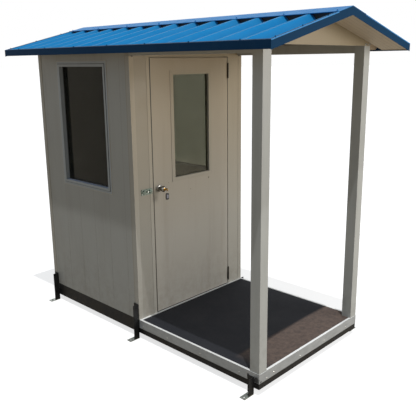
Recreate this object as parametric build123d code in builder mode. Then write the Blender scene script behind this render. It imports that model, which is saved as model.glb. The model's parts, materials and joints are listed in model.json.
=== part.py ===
from build123d import *
import os
from math import cos, radians, sin, tan

# A small hut of insulated metal panels with an open porch under one gable roof.
# Millimetres. X to the right seen from the porch, porch towards -Y, Z up.
# The origin is on the ground, under the centre of the roof.

os.makedirs("parts", exist_ok=True)

# Cabin and porch
hut_width = 1200.0
porch_depth = 1185.0
cabin_depth = 1195.0
wall_thickness = 50.0
base_length = porch_depth + cabin_depth

# Roof
side_overhang = 191.5
front_overhang = 202.0
back_overhang = 196.0
roof_pitch = 14.5
rib_plane_ridge_z = 2409.0
rib_height = 37.0
rib_pitch = 195.6
rib_top_width = 28.0
rib_side_angle = 52.0
first_rib_inset = 19.5
sheet_thickness = 2.0
ridge_gap = 25.0
cap_wing = 160.0
barge_depth = 50.0
fascia_drop = 47.5
fascia_return = 12.0
flashing = 2.0
flashing_lip = 20.0

# Base
ground_gap = 48.0
rail_height = 107.0
rail_width = 50.0
rail_wall = 3.0
joist_height = 60.0
joist_width = 40.0
floor_thickness = 18.0
floor_clearance = 1.0
trim_thickness = 2.0
edge_trim_height = 67.0
edge_trim_lip = 15.0
sill_width = 20.0
corner_trim_width = 40.0

# Legs and feet
leg_flange = 50.0
leg_wall = 4.0
foot_length = 90.0
foot_width = 44.0
foot_thickness = 5.0
anchor_hole = 14.0
anchor_hole_inset = 20.0
front_leg_inset = 41.0
middle_leg_inset = 5.0
back_leg_inset = 60.0
front_leg_top = 127.0
middle_leg_top = 285.0
back_leg_top = 255.0

# Posts and beams
post_size = 76.0
post_wall = 3.0
post_top = 2193.0
beam_width = 50.0
beam_bottom = 2144.5
beam_wall = 3.0
ridge_beam_width = 40.0
ridge_beam_height = 60.0

# Door
door_centre_x = 6.0
leaf_width = 836.0
leaf_thickness = 38.0
leaf_top = 2128.5
door_gap = 6.0
frame_face = 30.0
frame_proud = 1.5
stop_thickness = 6.0
stop_lap = 12.0
door_glass_width = 384.0
door_glass_bottom = 1220.0
door_glass_top = 2005.0
bead_face = 32.0
bead_thickness = 3.0
bead_return = 10.0
glass_thickness = 5.0

# Hinges
knuckle_radius = 6.0
pin_radius = 3.0
pin_clearance = 0.05
hinge_height = 114.0
hinge_plate = 2.0
hinge_plate_depth = 28.0
hinge_centres_z = (253.0, 2024.0)
hinge_axis_proud = 8.0

# Lock, key and latch plate
knob_backset = 57.0
knob_z = 1162.0
rose_radius = 27.0
rose_thickness = 9.0
rose_chamfer = 5.5
knob_radius = 23.0
knob_face_radius = 16.0
knob_reach = 60.0
neck_radius = 12.0
neck_reach = 24.0
key_reach = 24.0
key_blade_width = 9.0
key_thickness = 2.2
key_bow_radius = 12.0
key_hole_radius = 4.0
key_hole_offset = 4.0
ring_radius = 13.0
ring_wire = 2.5
fob_width = 28.0
fob_height = 50.0
fob_thickness = 10.0
fob_corner = 9.0
fob_edge = 2.0
fob_head = 2.5
latch_clearance = 26.0
latch_lap = 19.0
latch_height = 45.0
latch_thickness = 3.0
latch_z = 1155.0

# Windows
window_width = 658.0
window_height = 995.0
window_bottom = 1115.0
window_front_inset = 265.0
window_lap = 20.0
window_face = 20.0
window_glass_depth = 32.0

# Clearance between pieces that rest on or in each other
seat = 0.3

# Places worked out from the sizes above
half_width = hut_width / 2
roof_half_width = half_width + side_overhang
roof_length = front_overhang + base_length + back_overhang
front_y = -roof_length / 2 + front_overhang
wall_y = front_y + porch_depth
back_y = wall_y + cabin_depth
inside_front_y = wall_y + wall_thickness
inside_back_y = back_y - wall_thickness
rail_top = ground_gap + rail_height
deck_top = rail_top + trim_thickness
leaf_bottom = deck_top + door_gap
slope = tan(radians(roof_pitch))
drop_per_normal = 1 / cos(radians(roof_pitch))
frame_left = door_centre_x - leaf_width / 2 - door_gap - frame_face
frame_right = door_centre_x + leaf_width / 2 + door_gap + frame_face
frame_top = leaf_top + door_gap + frame_face
knob_x = door_centre_x - leaf_width / 2 + knob_backset
latch_left = -half_width - trim_thickness + corner_trim_width + latch_clearance
latch_right = frame_left + latch_lap


def rib_plane(x):
    """Height of the plane through the tops of the ribs."""
    return rib_plane_ridge_z - abs(x) * slope


def underside(x):
    """Height of the sheet's lower face, less the seating clearance."""
    return rib_plane(x) - (rib_height + sheet_thickness + seat) * drop_per_normal


def facing_front(y):
    """Upright plane across the hut at y, seen from the porch."""
    return Plane.XZ.offset(-y)


# Base frame: four mitred box rails and a cross rail under the door wall
left_mitre_front = Plane(origin=(-half_width, front_y, 0), z_dir=(-1, 1, 0))
left_mitre_back = Plane(origin=(-half_width, back_y, 0), z_dir=(-1, -1, 0))

with BuildPart() as base_rail_left:
    with BuildSketch(facing_front(back_y)):
        with Locations((-half_width + rail_width / 2, ground_gap + rail_height / 2)):
            Rectangle(rail_width, rail_height)
            Rectangle(rail_width - 2 * rail_wall, rail_height - 2 * rail_wall, mode=Mode.SUBTRACT)
    extrude(amount=base_length)
    split(bisect_by=left_mitre_front, keep=Keep.TOP)
    split(bisect_by=left_mitre_back, keep=Keep.TOP)
base_rail_left.part.label = "base_rail_left"
export_step(base_rail_left.part, "parts/base_rail_left.step")

with BuildPart() as base_rail_right:
    mirror(base_rail_left.part, about=Plane.YZ)
base_rail_right.part.label = "base_rail_right"
export_step(base_rail_right.part, "parts/base_rail_right.step")

with BuildPart() as base_rail_front:
    with BuildSketch(Plane.YZ.offset(-half_width)):
        with Locations((front_y + rail_width / 2, ground_gap + rail_height / 2)):
            Rectangle(rail_width, rail_height)
            Rectangle(rail_width - 2 * rail_wall, rail_height - 2 * rail_wall, mode=Mode.SUBTRACT)
    extrude(amount=hut_width)
    split(bisect_by=left_mitre_front, keep=Keep.BOTTOM)
    split(bisect_by=Plane(origin=(half_width, front_y, 0), z_dir=(1, 1, 0)), keep=Keep.BOTTOM)
base_rail_front.part.label = "base_rail_front"
export_step(base_rail_front.part, "parts/base_rail_front.step")

with BuildPart() as base_rail_back:
    mirror(base_rail_front.part, about=facing_front((front_y + back_y) / 2))
base_rail_back.part.label = "base_rail_back"
export_step(base_rail_back.part, "parts/base_rail_back.step")

cross_length = hut_width - 2 * rail_width
with BuildPart() as base_rail_middle:
    with BuildSketch(Plane.YZ.offset(-cross_length / 2)):
        with Locations((wall_y + rail_width / 2, ground_gap + rail_height / 2)):
            Rectangle(rail_width, rail_height)
            Rectangle(rail_width - 2 * rail_wall, rail_height - 2 * rail_wall, mode=Mode.SUBTRACT)
    extrude(amount=cross_length)
base_rail_middle.part.label = "base_rail_middle"
export_step(base_rail_middle.part, "parts/base_rail_middle.step")

# Floors: boards between the rails, on joists
porch_bay = (front_y + rail_width, wall_y)
cabin_bay = (wall_y + rail_width, back_y - rail_width)
joist_top = rail_top - floor_thickness
joist_places = [
    (bay_start + (bay_end - bay_start) * share, joist_top - joist_height / 2)
    for bay_start, bay_end in (porch_bay, cabin_bay)
    for share in (1 / 3, 2 / 3)
]

with BuildPart() as floor_joists:
    with BuildSketch(Plane.YZ.offset(-cross_length / 2)):
        with Locations(*joist_places):
            Rectangle(joist_width, joist_height)
            Rectangle(joist_width - 2 * rail_wall, joist_height - 2 * rail_wall, mode=Mode.SUBTRACT)
    extrude(amount=cross_length)
floor_joists.part.label = "floor_joists"
export_step(floor_joists.part, "parts/floor_joists.step")

for floor_name, (bay_start, bay_end) in (("porch_floor", porch_bay), ("cabin_floor", cabin_bay)):
    with BuildPart() as floor_board:
        with BuildSketch(Plane.XY.offset(joist_top)):
            with Locations((0, (bay_start + bay_end) / 2)):
                Rectangle(cross_length - 2 * floor_clearance, bay_end - bay_start - 2 * floor_clearance)
        extrude(amount=floor_thickness)
    floor_board.part.label = floor_name
    export_step(floor_board.part, f"parts/{floor_name}.step")

# Porch edges: light angle trims over the rails, notched for the posts
post_places = [(side * (half_width - post_size / 2), front_y + post_size / 2) for side in (-1, 1)]
post_notch = post_size + 2 * seat
edge_bottom = deck_top - edge_trim_height

with BuildPart() as porch_edge_left:
    with BuildSketch(facing_front(wall_y)):
        with Locations((-half_width - trim_thickness, edge_bottom)):
            Rectangle(trim_thickness, edge_trim_height, align=(Align.MIN, Align.MIN))
        with Locations((-half_width - trim_thickness, deck_top)):
            Rectangle(edge_trim_lip + trim_thickness, trim_thickness, align=(Align.MIN, Align.MAX))
    extrude(amount=porch_depth + trim_thickness)
    with BuildSketch(Plane.XY.offset(rail_top)):
        with Locations((-half_width, front_y - trim_thickness)):
            Rectangle(post_notch, post_notch + trim_thickness, align=(Align.MIN, Align.MIN))
    extrude(amount=2 * trim_thickness, mode=Mode.SUBTRACT)
porch_edge_left.part.label = "porch_edge_left"
export_step(porch_edge_left.part, "parts/porch_edge_left.step")

with BuildPart() as porch_edge_right:
    mirror(porch_edge_left.part, about=Plane.YZ)
porch_edge_right.part.label = "porch_edge_right"
export_step(porch_edge_right.part, "parts/porch_edge_right.step")

front_lip_length = hut_width - 2 * post_notch
with BuildPart() as porch_edge_front:
    with BuildSketch(Plane.XY.offset(edge_bottom)):
        with Locations((0, front_y)):
            Rectangle(hut_width, trim_thickness, align=(Align.CENTER, Align.MAX))
    extrude(amount=edge_trim_height - trim_thickness)
    with BuildSketch(Plane.XY.offset(rail_top)):
        with Locations((0, front_y - trim_thickness)):
            Rectangle(front_lip_length, edge_trim_lip + trim_thickness, align=(Align.CENTER, Align.MIN))
    extrude(amount=trim_thickness)
porch_edge_front.part.label = "porch_edge_front"
export_step(porch_edge_front.part, "parts/porch_edge_front.step")

with BuildPart() as door_sill:
    with BuildSketch(Plane.XY.offset(rail_top)):
        with Locations((0, wall_y)):
            Rectangle(
                hut_width - 2 * (edge_trim_lip + seat), sill_width, align=(Align.CENTER, Align.MAX)
            )
    extrude(amount=trim_thickness)
door_sill.part.label = "door_sill"
export_step(door_sill.part, "parts/door_sill.step")

mat_front = front_y + edge_trim_lip + floor_clearance
mat_back = wall_y - sill_width - floor_clearance
mat_width = hut_width - 2 * (edge_trim_lip + floor_clearance)
with BuildPart() as porch_mat:
    with BuildSketch(Plane.XY.offset(rail_top)):
        with Locations((0, (mat_front + mat_back) / 2)):
            Rectangle(mat_width, mat_back - mat_front)
        with Locations(*post_places):
            Rectangle(
                post_size + 2 * floor_clearance, post_size + 2 * floor_clearance, mode=Mode.SUBTRACT
            )
    extrude(amount=trim_thickness)
porch_mat.part.label = "porch_mat"
export_step(porch_mat.part, "parts/porch_mat.step")

# Legs: angle irons on the outside of the side rails, with the flange across at the front
leg_places = (
    (front_y + front_leg_inset, front_leg_top),
    (wall_y + middle_leg_inset, middle_leg_top),
    (back_y - back_leg_inset, back_leg_top),
)
leg_x = -half_width - trim_thickness

with BuildPart() as legs_left:
    for leg_y, leg_top in leg_places:
        with BuildSketch(Plane.XY.offset(foot_thickness)):
            with Locations((leg_x, leg_y)):
                Rectangle(leg_flange, leg_wall, align=(Align.MAX, Align.MIN))
                Rectangle(leg_wall, leg_flange, align=(Align.MAX, Align.MIN))
        extrude(amount=leg_top - foot_thickness)
legs_left.part.label = "legs_left"
export_step(legs_left.part, "parts/legs_left.step")

with BuildPart() as legs_right:
    mirror(legs_left.part, about=Plane.YZ)
legs_right.part.label = "legs_right"
export_step(legs_right.part, "parts/legs_right.step")

anchor_x = leg_x - foot_length + anchor_hole_inset
with BuildPart() as foot_plates_left:
    with BuildSketch():
        for leg_y, leg_top in leg_places:
            with Locations((leg_x, leg_y)):
                Rectangle(foot_length, foot_width, align=(Align.MAX, Align.MIN))
            with Locations((anchor_x, leg_y + foot_width / 2)):
                Circle(anchor_hole / 2, mode=Mode.SUBTRACT)
    extrude(amount=foot_thickness)
foot_plates_left.part.label = "foot_plates_left"
export_step(foot_plates_left.part, "parts/foot_plates_left.step")

with BuildPart() as foot_plates_right:
    mirror(foot_plates_left.part, about=Plane.YZ)
foot_plates_right.part.label = "foot_plates_right"
export_step(foot_plates_right.part, "parts/foot_plates_right.step")

# Side walls, each with its window cut through and its top cut to the roof's slope
window_front = wall_y + window_front_inset
window_middle = (window_front + window_width / 2, window_bottom + window_height / 2)
hole_width = window_width - 2 * window_lap
hole_height = window_height - 2 * window_lap

with BuildPart() as left_wall:
    with BuildSketch(facing_front(inside_back_y)):
        with BuildLine():
            Polyline(
                (-half_width, rail_top),
                (-half_width + wall_thickness, rail_top),
                (-half_width + wall_thickness, underside(half_width - wall_thickness)),
                (-half_width, underside(half_width)),
                close=True,
            )
        make_face()
    extrude(amount=inside_back_y - inside_front_y)
    with BuildSketch(Plane.YZ.offset(-half_width)):
        with Locations(window_middle):
            Rectangle(hole_width, hole_height)
    extrude(amount=wall_thickness, mode=Mode.SUBTRACT)
left_wall.part.label = "left_wall"
export_step(left_wall.part, "parts/left_wall.step")

with BuildPart() as right_wall:
    mirror(left_wall.part, about=Plane.YZ)
right_wall.part.label = "right_wall"
export_step(right_wall.part, "parts/right_wall.step")


def gable_outline(bottom):
    """Outline of a full-width panel whose top follows the sheets."""
    return Polyline(
        (-half_width, bottom),
        (half_width, bottom),
        (half_width, underside(half_width)),
        (0, underside(0)),
        (-half_width, underside(half_width)),
        close=True,
    )


with BuildPart() as back_wall:
    with BuildSketch(facing_front(back_y)):
        with BuildLine():
            gable_outline(rail_top)
        make_face()
    extrude(amount=wall_thickness)
back_wall.part.label = "back_wall"
export_step(back_wall.part, "parts/back_wall.step")

# Door wall: a pier each side of the door, and a gable over both
for pier_name, pier_left, pier_right in (
    ("front_wall_left", -half_width, frame_left),
    ("front_wall_right", frame_right, half_width),
):
    with BuildPart() as pier:
        with BuildSketch(Plane.XY.offset(rail_top)):
            with Locations(((pier_left + pier_right) / 2, wall_y + wall_thickness / 2)):
                Rectangle(pier_right - pier_left, wall_thickness)
        extrude(amount=frame_top - rail_top)
    pier.part.label = pier_name
    export_step(pier.part, f"parts/{pier_name}.step")

with BuildPart() as front_gable:
    with BuildSketch(facing_front(inside_front_y)):
        with BuildLine():
            gable_outline(frame_top)
        make_face()
    extrude(amount=wall_thickness)
front_gable.part.label = "front_gable"
export_step(front_gable.part, "parts/front_gable.step")

with BuildPart() as porch_gable:
    with BuildSketch(facing_front(front_y + wall_thickness)):
        with BuildLine():
            gable_outline(post_top)
        make_face()
    extrude(amount=wall_thickness)
porch_gable.part.label = "porch_gable"
export_step(porch_gable.part, "parts/porch_gable.step")

# Corner trims: light angles on the cabin's four corners, the front pair up to the beams
trim_bottom = deck_top + seat
with BuildPart() as corner_trims:
    for corner_y, inward, trim_top in (
        (wall_y, 1, beam_bottom - seat),
        (back_y, -1, underside(half_width + trim_thickness)),
    ):
        with BuildSketch(Plane.XY.offset(trim_bottom)):
            for side in (-1, 1):
                outer = (side * (half_width + trim_thickness), corner_y - inward * trim_thickness)
                align_x = Align.MIN if side < 0 else Align.MAX
                align_y = Align.MIN if inward > 0 else Align.MAX
                with Locations(outer):
                    Rectangle(corner_trim_width, trim_thickness, align=(align_x, align_y))
                    Rectangle(trim_thickness, corner_trim_width, align=(align_x, align_y))
        extrude(amount=trim_top - trim_bottom)
corner_trims.part.label = "corner_trims"
export_step(corner_trims.part, "parts/corner_trims.step")

# Porch posts: square tubes, closed at the top
for post_name, post_place in zip(("porch_post_left", "porch_post_right"), post_places):
    with BuildPart() as post:
        with BuildSketch(Plane.XY.offset(rail_top)):
            with Locations(post_place):
                Rectangle(post_size, post_size)
        extrude(amount=post_top - rail_top)
        with BuildSketch(Plane.XY.offset(rail_top)):
            with Locations(post_place):
                Rectangle(post_size - 2 * post_wall, post_size - 2 * post_wall)
        extrude(amount=post_top - rail_top - post_wall, mode=Mode.SUBTRACT)
    post.part.label = post_name
    export_step(post.part, f"parts/{post_name}.step")

# Side beams from the posts to the cabin, and the ridge beam between the gables
beam_top = underside(half_width)
with BuildPart() as top_plate_left:
    with BuildSketch(facing_front(wall_y)):
        with Locations((-half_width + beam_width / 2, (beam_bottom + beam_top) / 2)):
            Rectangle(beam_width, beam_top - beam_bottom)
            Rectangle(
                beam_width - 2 * beam_wall, beam_top - beam_bottom - 2 * beam_wall, mode=Mode.SUBTRACT
            )
    extrude(amount=porch_depth - post_size)
top_plate_left.part.label = "top_plate_left"
export_step(top_plate_left.part, "parts/top_plate_left.step")

with BuildPart() as top_plate_right:
    mirror(top_plate_left.part, about=Plane.YZ)
top_plate_right.part.label = "top_plate_right"
export_step(top_plate_right.part, "parts/top_plate_right.step")

ridge_beam_top = underside(ridge_beam_width / 2)
with BuildPart() as ridge_beam:
    for span_start, span_end in (
        (front_y + wall_thickness, wall_y),
        (inside_front_y, inside_back_y),
    ):
        with BuildSketch(facing_front(span_end)):
            with Locations((0, ridge_beam_top - ridge_beam_height / 2)):
                Rectangle(ridge_beam_width, ridge_beam_height)
                Rectangle(
                    ridge_beam_width - 2 * beam_wall,
                    ridge_beam_height - 2 * beam_wall,
                    mode=Mode.SUBTRACT,
                )
        extrude(amount=span_end - span_start)
ridge_beam.part.label = "ridge_beam"
export_step(ridge_beam.part, "parts/ridge_beam.step")

# Roof sheets: one box-ribbed section each side, run from the ridge down to the eave,
# with a rib under each barge's lip
down_slope = (cos(radians(roof_pitch)), 0, -sin(radians(roof_pitch)))
sheet_front = front_y - front_overhang + flashing + seat
sheet_back = back_y + back_overhang - flashing - seat
sheet_start = ridge_gap
sheet_end = (roof_half_width - flashing - seat) * drop_per_normal
rib_base_width = rib_top_width + 2 * rib_height / tan(radians(rib_side_angle))
rib_inner_width = rib_base_width - 2 * sheet_thickness * tan(radians(rib_side_angle / 2))
ribbed_length = roof_length - 2 * first_rib_inset
rib_spaces = round(ribbed_length / rib_pitch)
rib_centres = [
    front_y - front_overhang + first_rib_inset + ribbed_length * index / rib_spaces
    for index in range(rib_spaces + 1)
]
slope_origin = (
    down_slope[0] * sheet_start,
    0,
    rib_plane_ridge_z + down_slope[2] * sheet_start,
)
slope_plane = Plane(origin=slope_origin, x_dir=(0, 1, 0), z_dir=down_slope)

with BuildPart() as roof_sheet_right:
    with BuildSketch(slope_plane):
        with Locations(((sheet_front + sheet_back) / 2, -rib_height - sheet_thickness / 2)):
            Rectangle(sheet_back - sheet_front, sheet_thickness)
        with Locations(*[(centre, -rib_height / 2) for centre in rib_centres]):
            Trapezoid(rib_base_width, rib_height, rib_side_angle)
        with Locations(*[(centre, -rib_height / 2 - sheet_thickness) for centre in rib_centres]):
            Trapezoid(rib_inner_width, rib_height, rib_side_angle, mode=Mode.SUBTRACT)
        with Locations(((sheet_front + sheet_back) / 2, 0)):
            Rectangle(
                sheet_back - sheet_front,
                rib_height + sheet_thickness,
                align=(Align.CENTER, Align.MAX),
                mode=Mode.INTERSECT,
            )
    extrude(amount=sheet_end - sheet_start)
roof_sheet_right.part.label = "roof_sheet_right"
export_step(roof_sheet_right.part, "parts/roof_sheet_right.step")

with BuildPart() as roof_sheet_left:
    mirror(roof_sheet_right.part, about=Plane.YZ)
roof_sheet_left.part.label = "roof_sheet_left"
export_step(roof_sheet_left.part, "parts/roof_sheet_left.step")


def chevron(half_span, top_rise, depth):
    """Closed outline of a gable-shaped band whose top is top_rise over the rib plane."""
    rise = top_rise * drop_per_normal
    fall = (top_rise - depth) * drop_per_normal
    return Polyline(
        (-half_span, rib_plane(half_span) + rise),
        (0, rib_plane(0) + rise),
        (half_span, rib_plane(half_span) + rise),
        (half_span, rib_plane(half_span) + fall),
        (0, rib_plane(0) + fall),
        (-half_span, rib_plane(half_span) + fall),
        close=True,
    )


# Barges: gable boards with a lip turned back over the ribs
lip_half_span = roof_half_width - flashing - flashing_lip - floor_clearance
with BuildPart() as barge_front:
    with BuildSketch(facing_front(front_y - front_overhang + flashing)):
        with BuildLine():
            chevron(roof_half_width, flashing, barge_depth)
        make_face()
    extrude(amount=flashing)
    with BuildSketch(facing_front(front_y - front_overhang + flashing_lip)):
        with BuildLine():
            chevron(lip_half_span, flashing, flashing - seat)
        make_face()
    extrude(amount=flashing_lip - flashing)
barge_front.part.label = "barge_front"
export_step(barge_front.part, "parts/barge_front.step")

with BuildPart() as barge_back:
    mirror(barge_front.part, about=Plane.XZ)
barge_back.part.label = "barge_back"
export_step(barge_back.part, "parts/barge_back.step")

# Eave fascias: a drop edge with a top lip over the ribs and a small return below
eave_z = rib_plane(roof_half_width) + flashing * drop_per_normal
lip_inner_x = roof_half_width - flashing_lip
with BuildPart() as eave_fascia_right:
    with BuildSketch(facing_front(sheet_back)):
        with BuildLine():
            Polyline(
                (roof_half_width, eave_z),
                (roof_half_width, eave_z - fascia_drop),
                (roof_half_width - fascia_return, eave_z - fascia_drop),
                (roof_half_width - fascia_return, eave_z - fascia_drop + flashing),
                (roof_half_width - flashing, eave_z - fascia_drop + flashing),
                (roof_half_width - flashing, rib_plane(roof_half_width - flashing) + seat),
                (lip_inner_x, rib_plane(lip_inner_x) + seat),
                (lip_inner_x, rib_plane(lip_inner_x) + flashing * drop_per_normal),
                close=True,
            )
        make_face()
    extrude(amount=sheet_back - sheet_front)
eave_fascia_right.part.label = "eave_fascia_right"
export_step(eave_fascia_right.part, "parts/eave_fascia_right.step")

with BuildPart() as eave_fascia_left:
    mirror(eave_fascia_right.part, about=Plane.YZ)
eave_fascia_left.part.label = "eave_fascia_left"
export_step(eave_fascia_left.part, "parts/eave_fascia_left.step")

# Ridge cap: a folded strip over the barges' lips and the ribs
cap_rise = 2 * flashing + seat
with BuildPart() as ridge_cap:
    with BuildSketch(facing_front(back_y + back_overhang)):
        with BuildLine():
            chevron(cap_wing * cos(radians(roof_pitch)), cap_rise, flashing)
        make_face()
    extrude(amount=roof_length)
ridge_cap.part.label = "ridge_cap"
export_step(ridge_cap.part, "parts/ridge_cap.step")

# Door frame: jambs and head with a stop behind the leaf
frame_width = frame_right - frame_left
clear_width = leaf_width + 2 * door_gap
clear_top = leaf_top + door_gap
with BuildPart() as door_frame:
    with BuildSketch(facing_front(inside_front_y)):
        with Locations((door_centre_x, rail_top)):
            Rectangle(frame_width, frame_top - rail_top, align=(Align.CENTER, Align.MIN))
            Rectangle(
                clear_width - 2 * (stop_lap + door_gap),
                clear_top - rail_top - stop_lap - door_gap,
                align=(Align.CENTER, Align.MIN),
                mode=Mode.SUBTRACT,
            )
    extrude(amount=wall_thickness)
    with BuildSketch(facing_front(inside_front_y - stop_thickness)):
        with Locations((door_centre_x, rail_top)):
            Rectangle(clear_width, clear_top - rail_top, align=(Align.CENTER, Align.MIN))
    extrude(amount=wall_thickness, mode=Mode.SUBTRACT)
    with BuildSketch(facing_front(wall_y)):
        with Locations((door_centre_x, deck_top)):
            Rectangle(frame_width, frame_top - deck_top, align=(Align.CENTER, Align.MIN))
            Rectangle(
                clear_width, clear_top - deck_top, align=(Align.CENTER, Align.MIN), mode=Mode.SUBTRACT
            )
    extrude(amount=frame_proud)
door_frame.part.label = "door_frame"
export_step(door_frame.part, "parts/door_frame.step")

# Door leaf with its vision opening
vision_width = door_glass_width + 2 * bead_return
vision_height = door_glass_top - door_glass_bottom + 2 * bead_return
vision_middle = (door_centre_x, (door_glass_top + door_glass_bottom) / 2)
with BuildPart() as door_leaf:
    with BuildSketch(facing_front(wall_y + leaf_thickness)):
        with Locations((door_centre_x, (leaf_bottom + leaf_top) / 2)):
            Rectangle(leaf_width, leaf_top - leaf_bottom)
        with Locations(vision_middle):
            Rectangle(vision_width, vision_height, mode=Mode.SUBTRACT)
    extrude(amount=leaf_thickness)
door_leaf.part.label = "door_leaf"
export_step(door_leaf.part, "parts/door_leaf.step")

with BuildPart() as door_glass:
    with BuildSketch(facing_front(wall_y + (leaf_thickness + glass_thickness) / 2)):
        with Locations(vision_middle):
            Rectangle(vision_width - 2 * seat, vision_height - 2 * seat)
    extrude(amount=glass_thickness)
door_glass.part.label = "door_glass"
export_step(door_glass.part, "parts/door_glass.step")

# Glazing beads: a ring on each face of the leaf, turned in as far as the glass
bead_turn = (leaf_thickness - glass_thickness) / 2 - seat
with BuildPart() as door_glazing_beads:
    with BuildSketch(facing_front(wall_y)):
        with Locations(vision_middle):
            Rectangle(door_glass_width + 2 * bead_face, vision_height - 2 * bead_return + 2 * bead_face)
            Rectangle(door_glass_width, vision_height - 2 * bead_return, mode=Mode.SUBTRACT)
    extrude(amount=bead_thickness)
    with BuildSketch(facing_front(wall_y + bead_turn)):
        with Locations(vision_middle):
            Rectangle(vision_width - 2 * seat, vision_height - 2 * seat)
            Rectangle(door_glass_width, vision_height - 2 * bead_return, mode=Mode.SUBTRACT)
    extrude(amount=bead_turn)
    mirror(about=facing_front(wall_y + leaf_thickness / 2))
door_glazing_beads.part.label = "door_glazing_beads"
export_step(door_glazing_beads.part, "parts/door_glazing_beads.step")

# Hinges: three knuckles on a pin, the middle one on the leaf's plate
hinge_x = door_centre_x + leaf_width / 2 + door_gap / 2
hinge_y = wall_y - hinge_axis_proud
knuckle_height = hinge_height / 3
plate_reach = hinge_axis_proud + hinge_plate_depth
plate_offset = door_gap / 2

with BuildPart() as door_hinge_leaves:
    for hinge_z in hinge_centres_z:
        middle_bottom = hinge_z - knuckle_height / 2 + seat
        middle_height = knuckle_height - 2 * seat
        with BuildSketch(Plane.XY.offset(middle_bottom)):
            with Locations((hinge_x, hinge_y)):
                Circle(knuckle_radius)
            with Locations((hinge_x - plate_offset, hinge_y)):
                Rectangle(hinge_plate, plate_reach, align=(Align.MIN, Align.MIN))
            with Locations((hinge_x, hinge_y)):
                Circle(pin_radius + pin_clearance, mode=Mode.SUBTRACT)
        extrude(amount=middle_height)
        with BuildSketch(Plane.XY.offset(hinge_z - hinge_height / 2)):
            with Locations((hinge_x - plate_offset, wall_y)):
                Rectangle(hinge_plate, hinge_plate_depth, align=(Align.MIN, Align.MIN))
        extrude(amount=hinge_height)
door_hinge_leaves.part.label = "door_hinge_leaves"
export_step(door_hinge_leaves.part, "parts/door_hinge_leaves.step")

with BuildPart() as frame_hinge_leaves:
    for hinge_z in hinge_centres_z:
        for knuckle_bottom in (hinge_z - hinge_height / 2, hinge_z + knuckle_height / 2):
            with BuildSketch(Plane.XY.offset(knuckle_bottom)):
                with Locations((hinge_x, hinge_y)):
                    Circle(knuckle_radius)
                with Locations((hinge_x + plate_offset, hinge_y)):
                    Rectangle(hinge_plate, plate_reach, align=(Align.MAX, Align.MIN))
            extrude(amount=knuckle_height)
        with BuildSketch(Plane.XY.offset(hinge_z - hinge_height / 2)):
            with Locations((hinge_x, hinge_y)):
                Circle(pin_radius)
            with Locations((hinge_x + plate_offset, wall_y)):
                Rectangle(hinge_plate, hinge_plate_depth, align=(Align.MAX, Align.MIN))
        extrude(amount=hinge_height)
frame_hinge_leaves.part.label = "frame_hinge_leaves"
export_step(frame_hinge_leaves.part, "parts/frame_hinge_leaves.step")

# Knob lock: rose, neck and rounded knob turned about the spindle's axis
with BuildPart() as door_knob:
    with BuildSketch(Plane.YZ.offset(knob_x)):
        with BuildLine():
            Polyline(
                (wall_y - neck_reach, knob_z + neck_radius),
                (wall_y - rose_thickness, knob_z + neck_radius),
                (wall_y - rose_thickness, knob_z + rose_radius - rose_chamfer),
                (wall_y - rose_thickness / 2, knob_z + rose_radius),
                (wall_y, knob_z + rose_radius),
                (wall_y, knob_z),
                (wall_y - knob_reach, knob_z),
                (wall_y - knob_reach, knob_z + knob_face_radius),
            )
            ThreePointArc(
                (wall_y - knob_reach, knob_z + knob_face_radius),
                (wall_y - (neck_reach + knob_reach) / 2, knob_z + knob_radius),
                (wall_y - neck_reach, knob_z + neck_radius),
            )
        make_face()
    revolve(axis=Axis((knob_x, wall_y, knob_z), (0, 1, 0)))
door_knob.part.label = "door_knob"
export_step(door_knob.part, "parts/door_knob.step")

key_start_y = wall_y - knob_reach - seat
ring_y = key_start_y - key_reach - key_hole_offset
with BuildPart() as door_key:
    with BuildSketch(Plane.YZ.offset(knob_x - key_thickness / 2)):
        with Locations((key_start_y, knob_z)):
            Rectangle(key_reach, key_blade_width, align=(Align.MAX, Align.CENTER))
        with Locations((key_start_y - key_reach, knob_z)):
            Circle(key_bow_radius)
        with Locations((ring_y, knob_z)):
            Circle(key_hole_radius, mode=Mode.SUBTRACT)
    extrude(amount=key_thickness)
door_key.part.label = "door_key"
export_step(door_key.part, "parts/door_key.step")

# Fob on a ring that hangs in the hole of the key's bow
ring_z = knob_z - key_hole_radius + seat + ring_wire / 2 - ring_radius
fob_top = ring_z - ring_radius + fob_head
with BuildPart() as key_fob:
    with BuildSketch(facing_front(ring_y + fob_thickness / 2)):
        with Locations((knob_x, fob_top)):
            RectangleRounded(fob_width, fob_height, fob_corner, align=(Align.CENTER, Align.MAX))
    extrude(amount=fob_thickness)
    fillet(key_fob.edges().filter_by(Plane.XZ), fob_edge)
    with BuildSketch(Plane.YZ.offset(knob_x)):
        with Locations((ring_y, ring_z + ring_radius)):
            Circle(ring_wire / 2)
    revolve(axis=Axis((knob_x, ring_y, ring_z), (0, 1, 0)))
key_fob.part.label = "key_fob"
export_step(key_fob.part, "parts/key_fob.step")

# Latch plate on the pier beside the door, reaching over the jamb
with BuildPart() as latch_plate:
    with BuildSketch(facing_front(wall_y - frame_proud - seat)):
        with Locations(((latch_left + latch_right) / 2, latch_z)):
            Rectangle(latch_right - latch_left, latch_height)
    extrude(amount=latch_thickness)
latch_plate.part.label = "latch_plate"
export_step(latch_plate.part, "parts/latch_plate.step")

# Windows: a frame with an outer flange, and a pane in a groove round it
frame_outer_width = hole_width - 2 * seat
frame_outer_height = hole_height - 2 * seat
sash_width = hole_width - 2 * window_face
sash_height = hole_height - 2 * window_face
groove = window_face / 2

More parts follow.
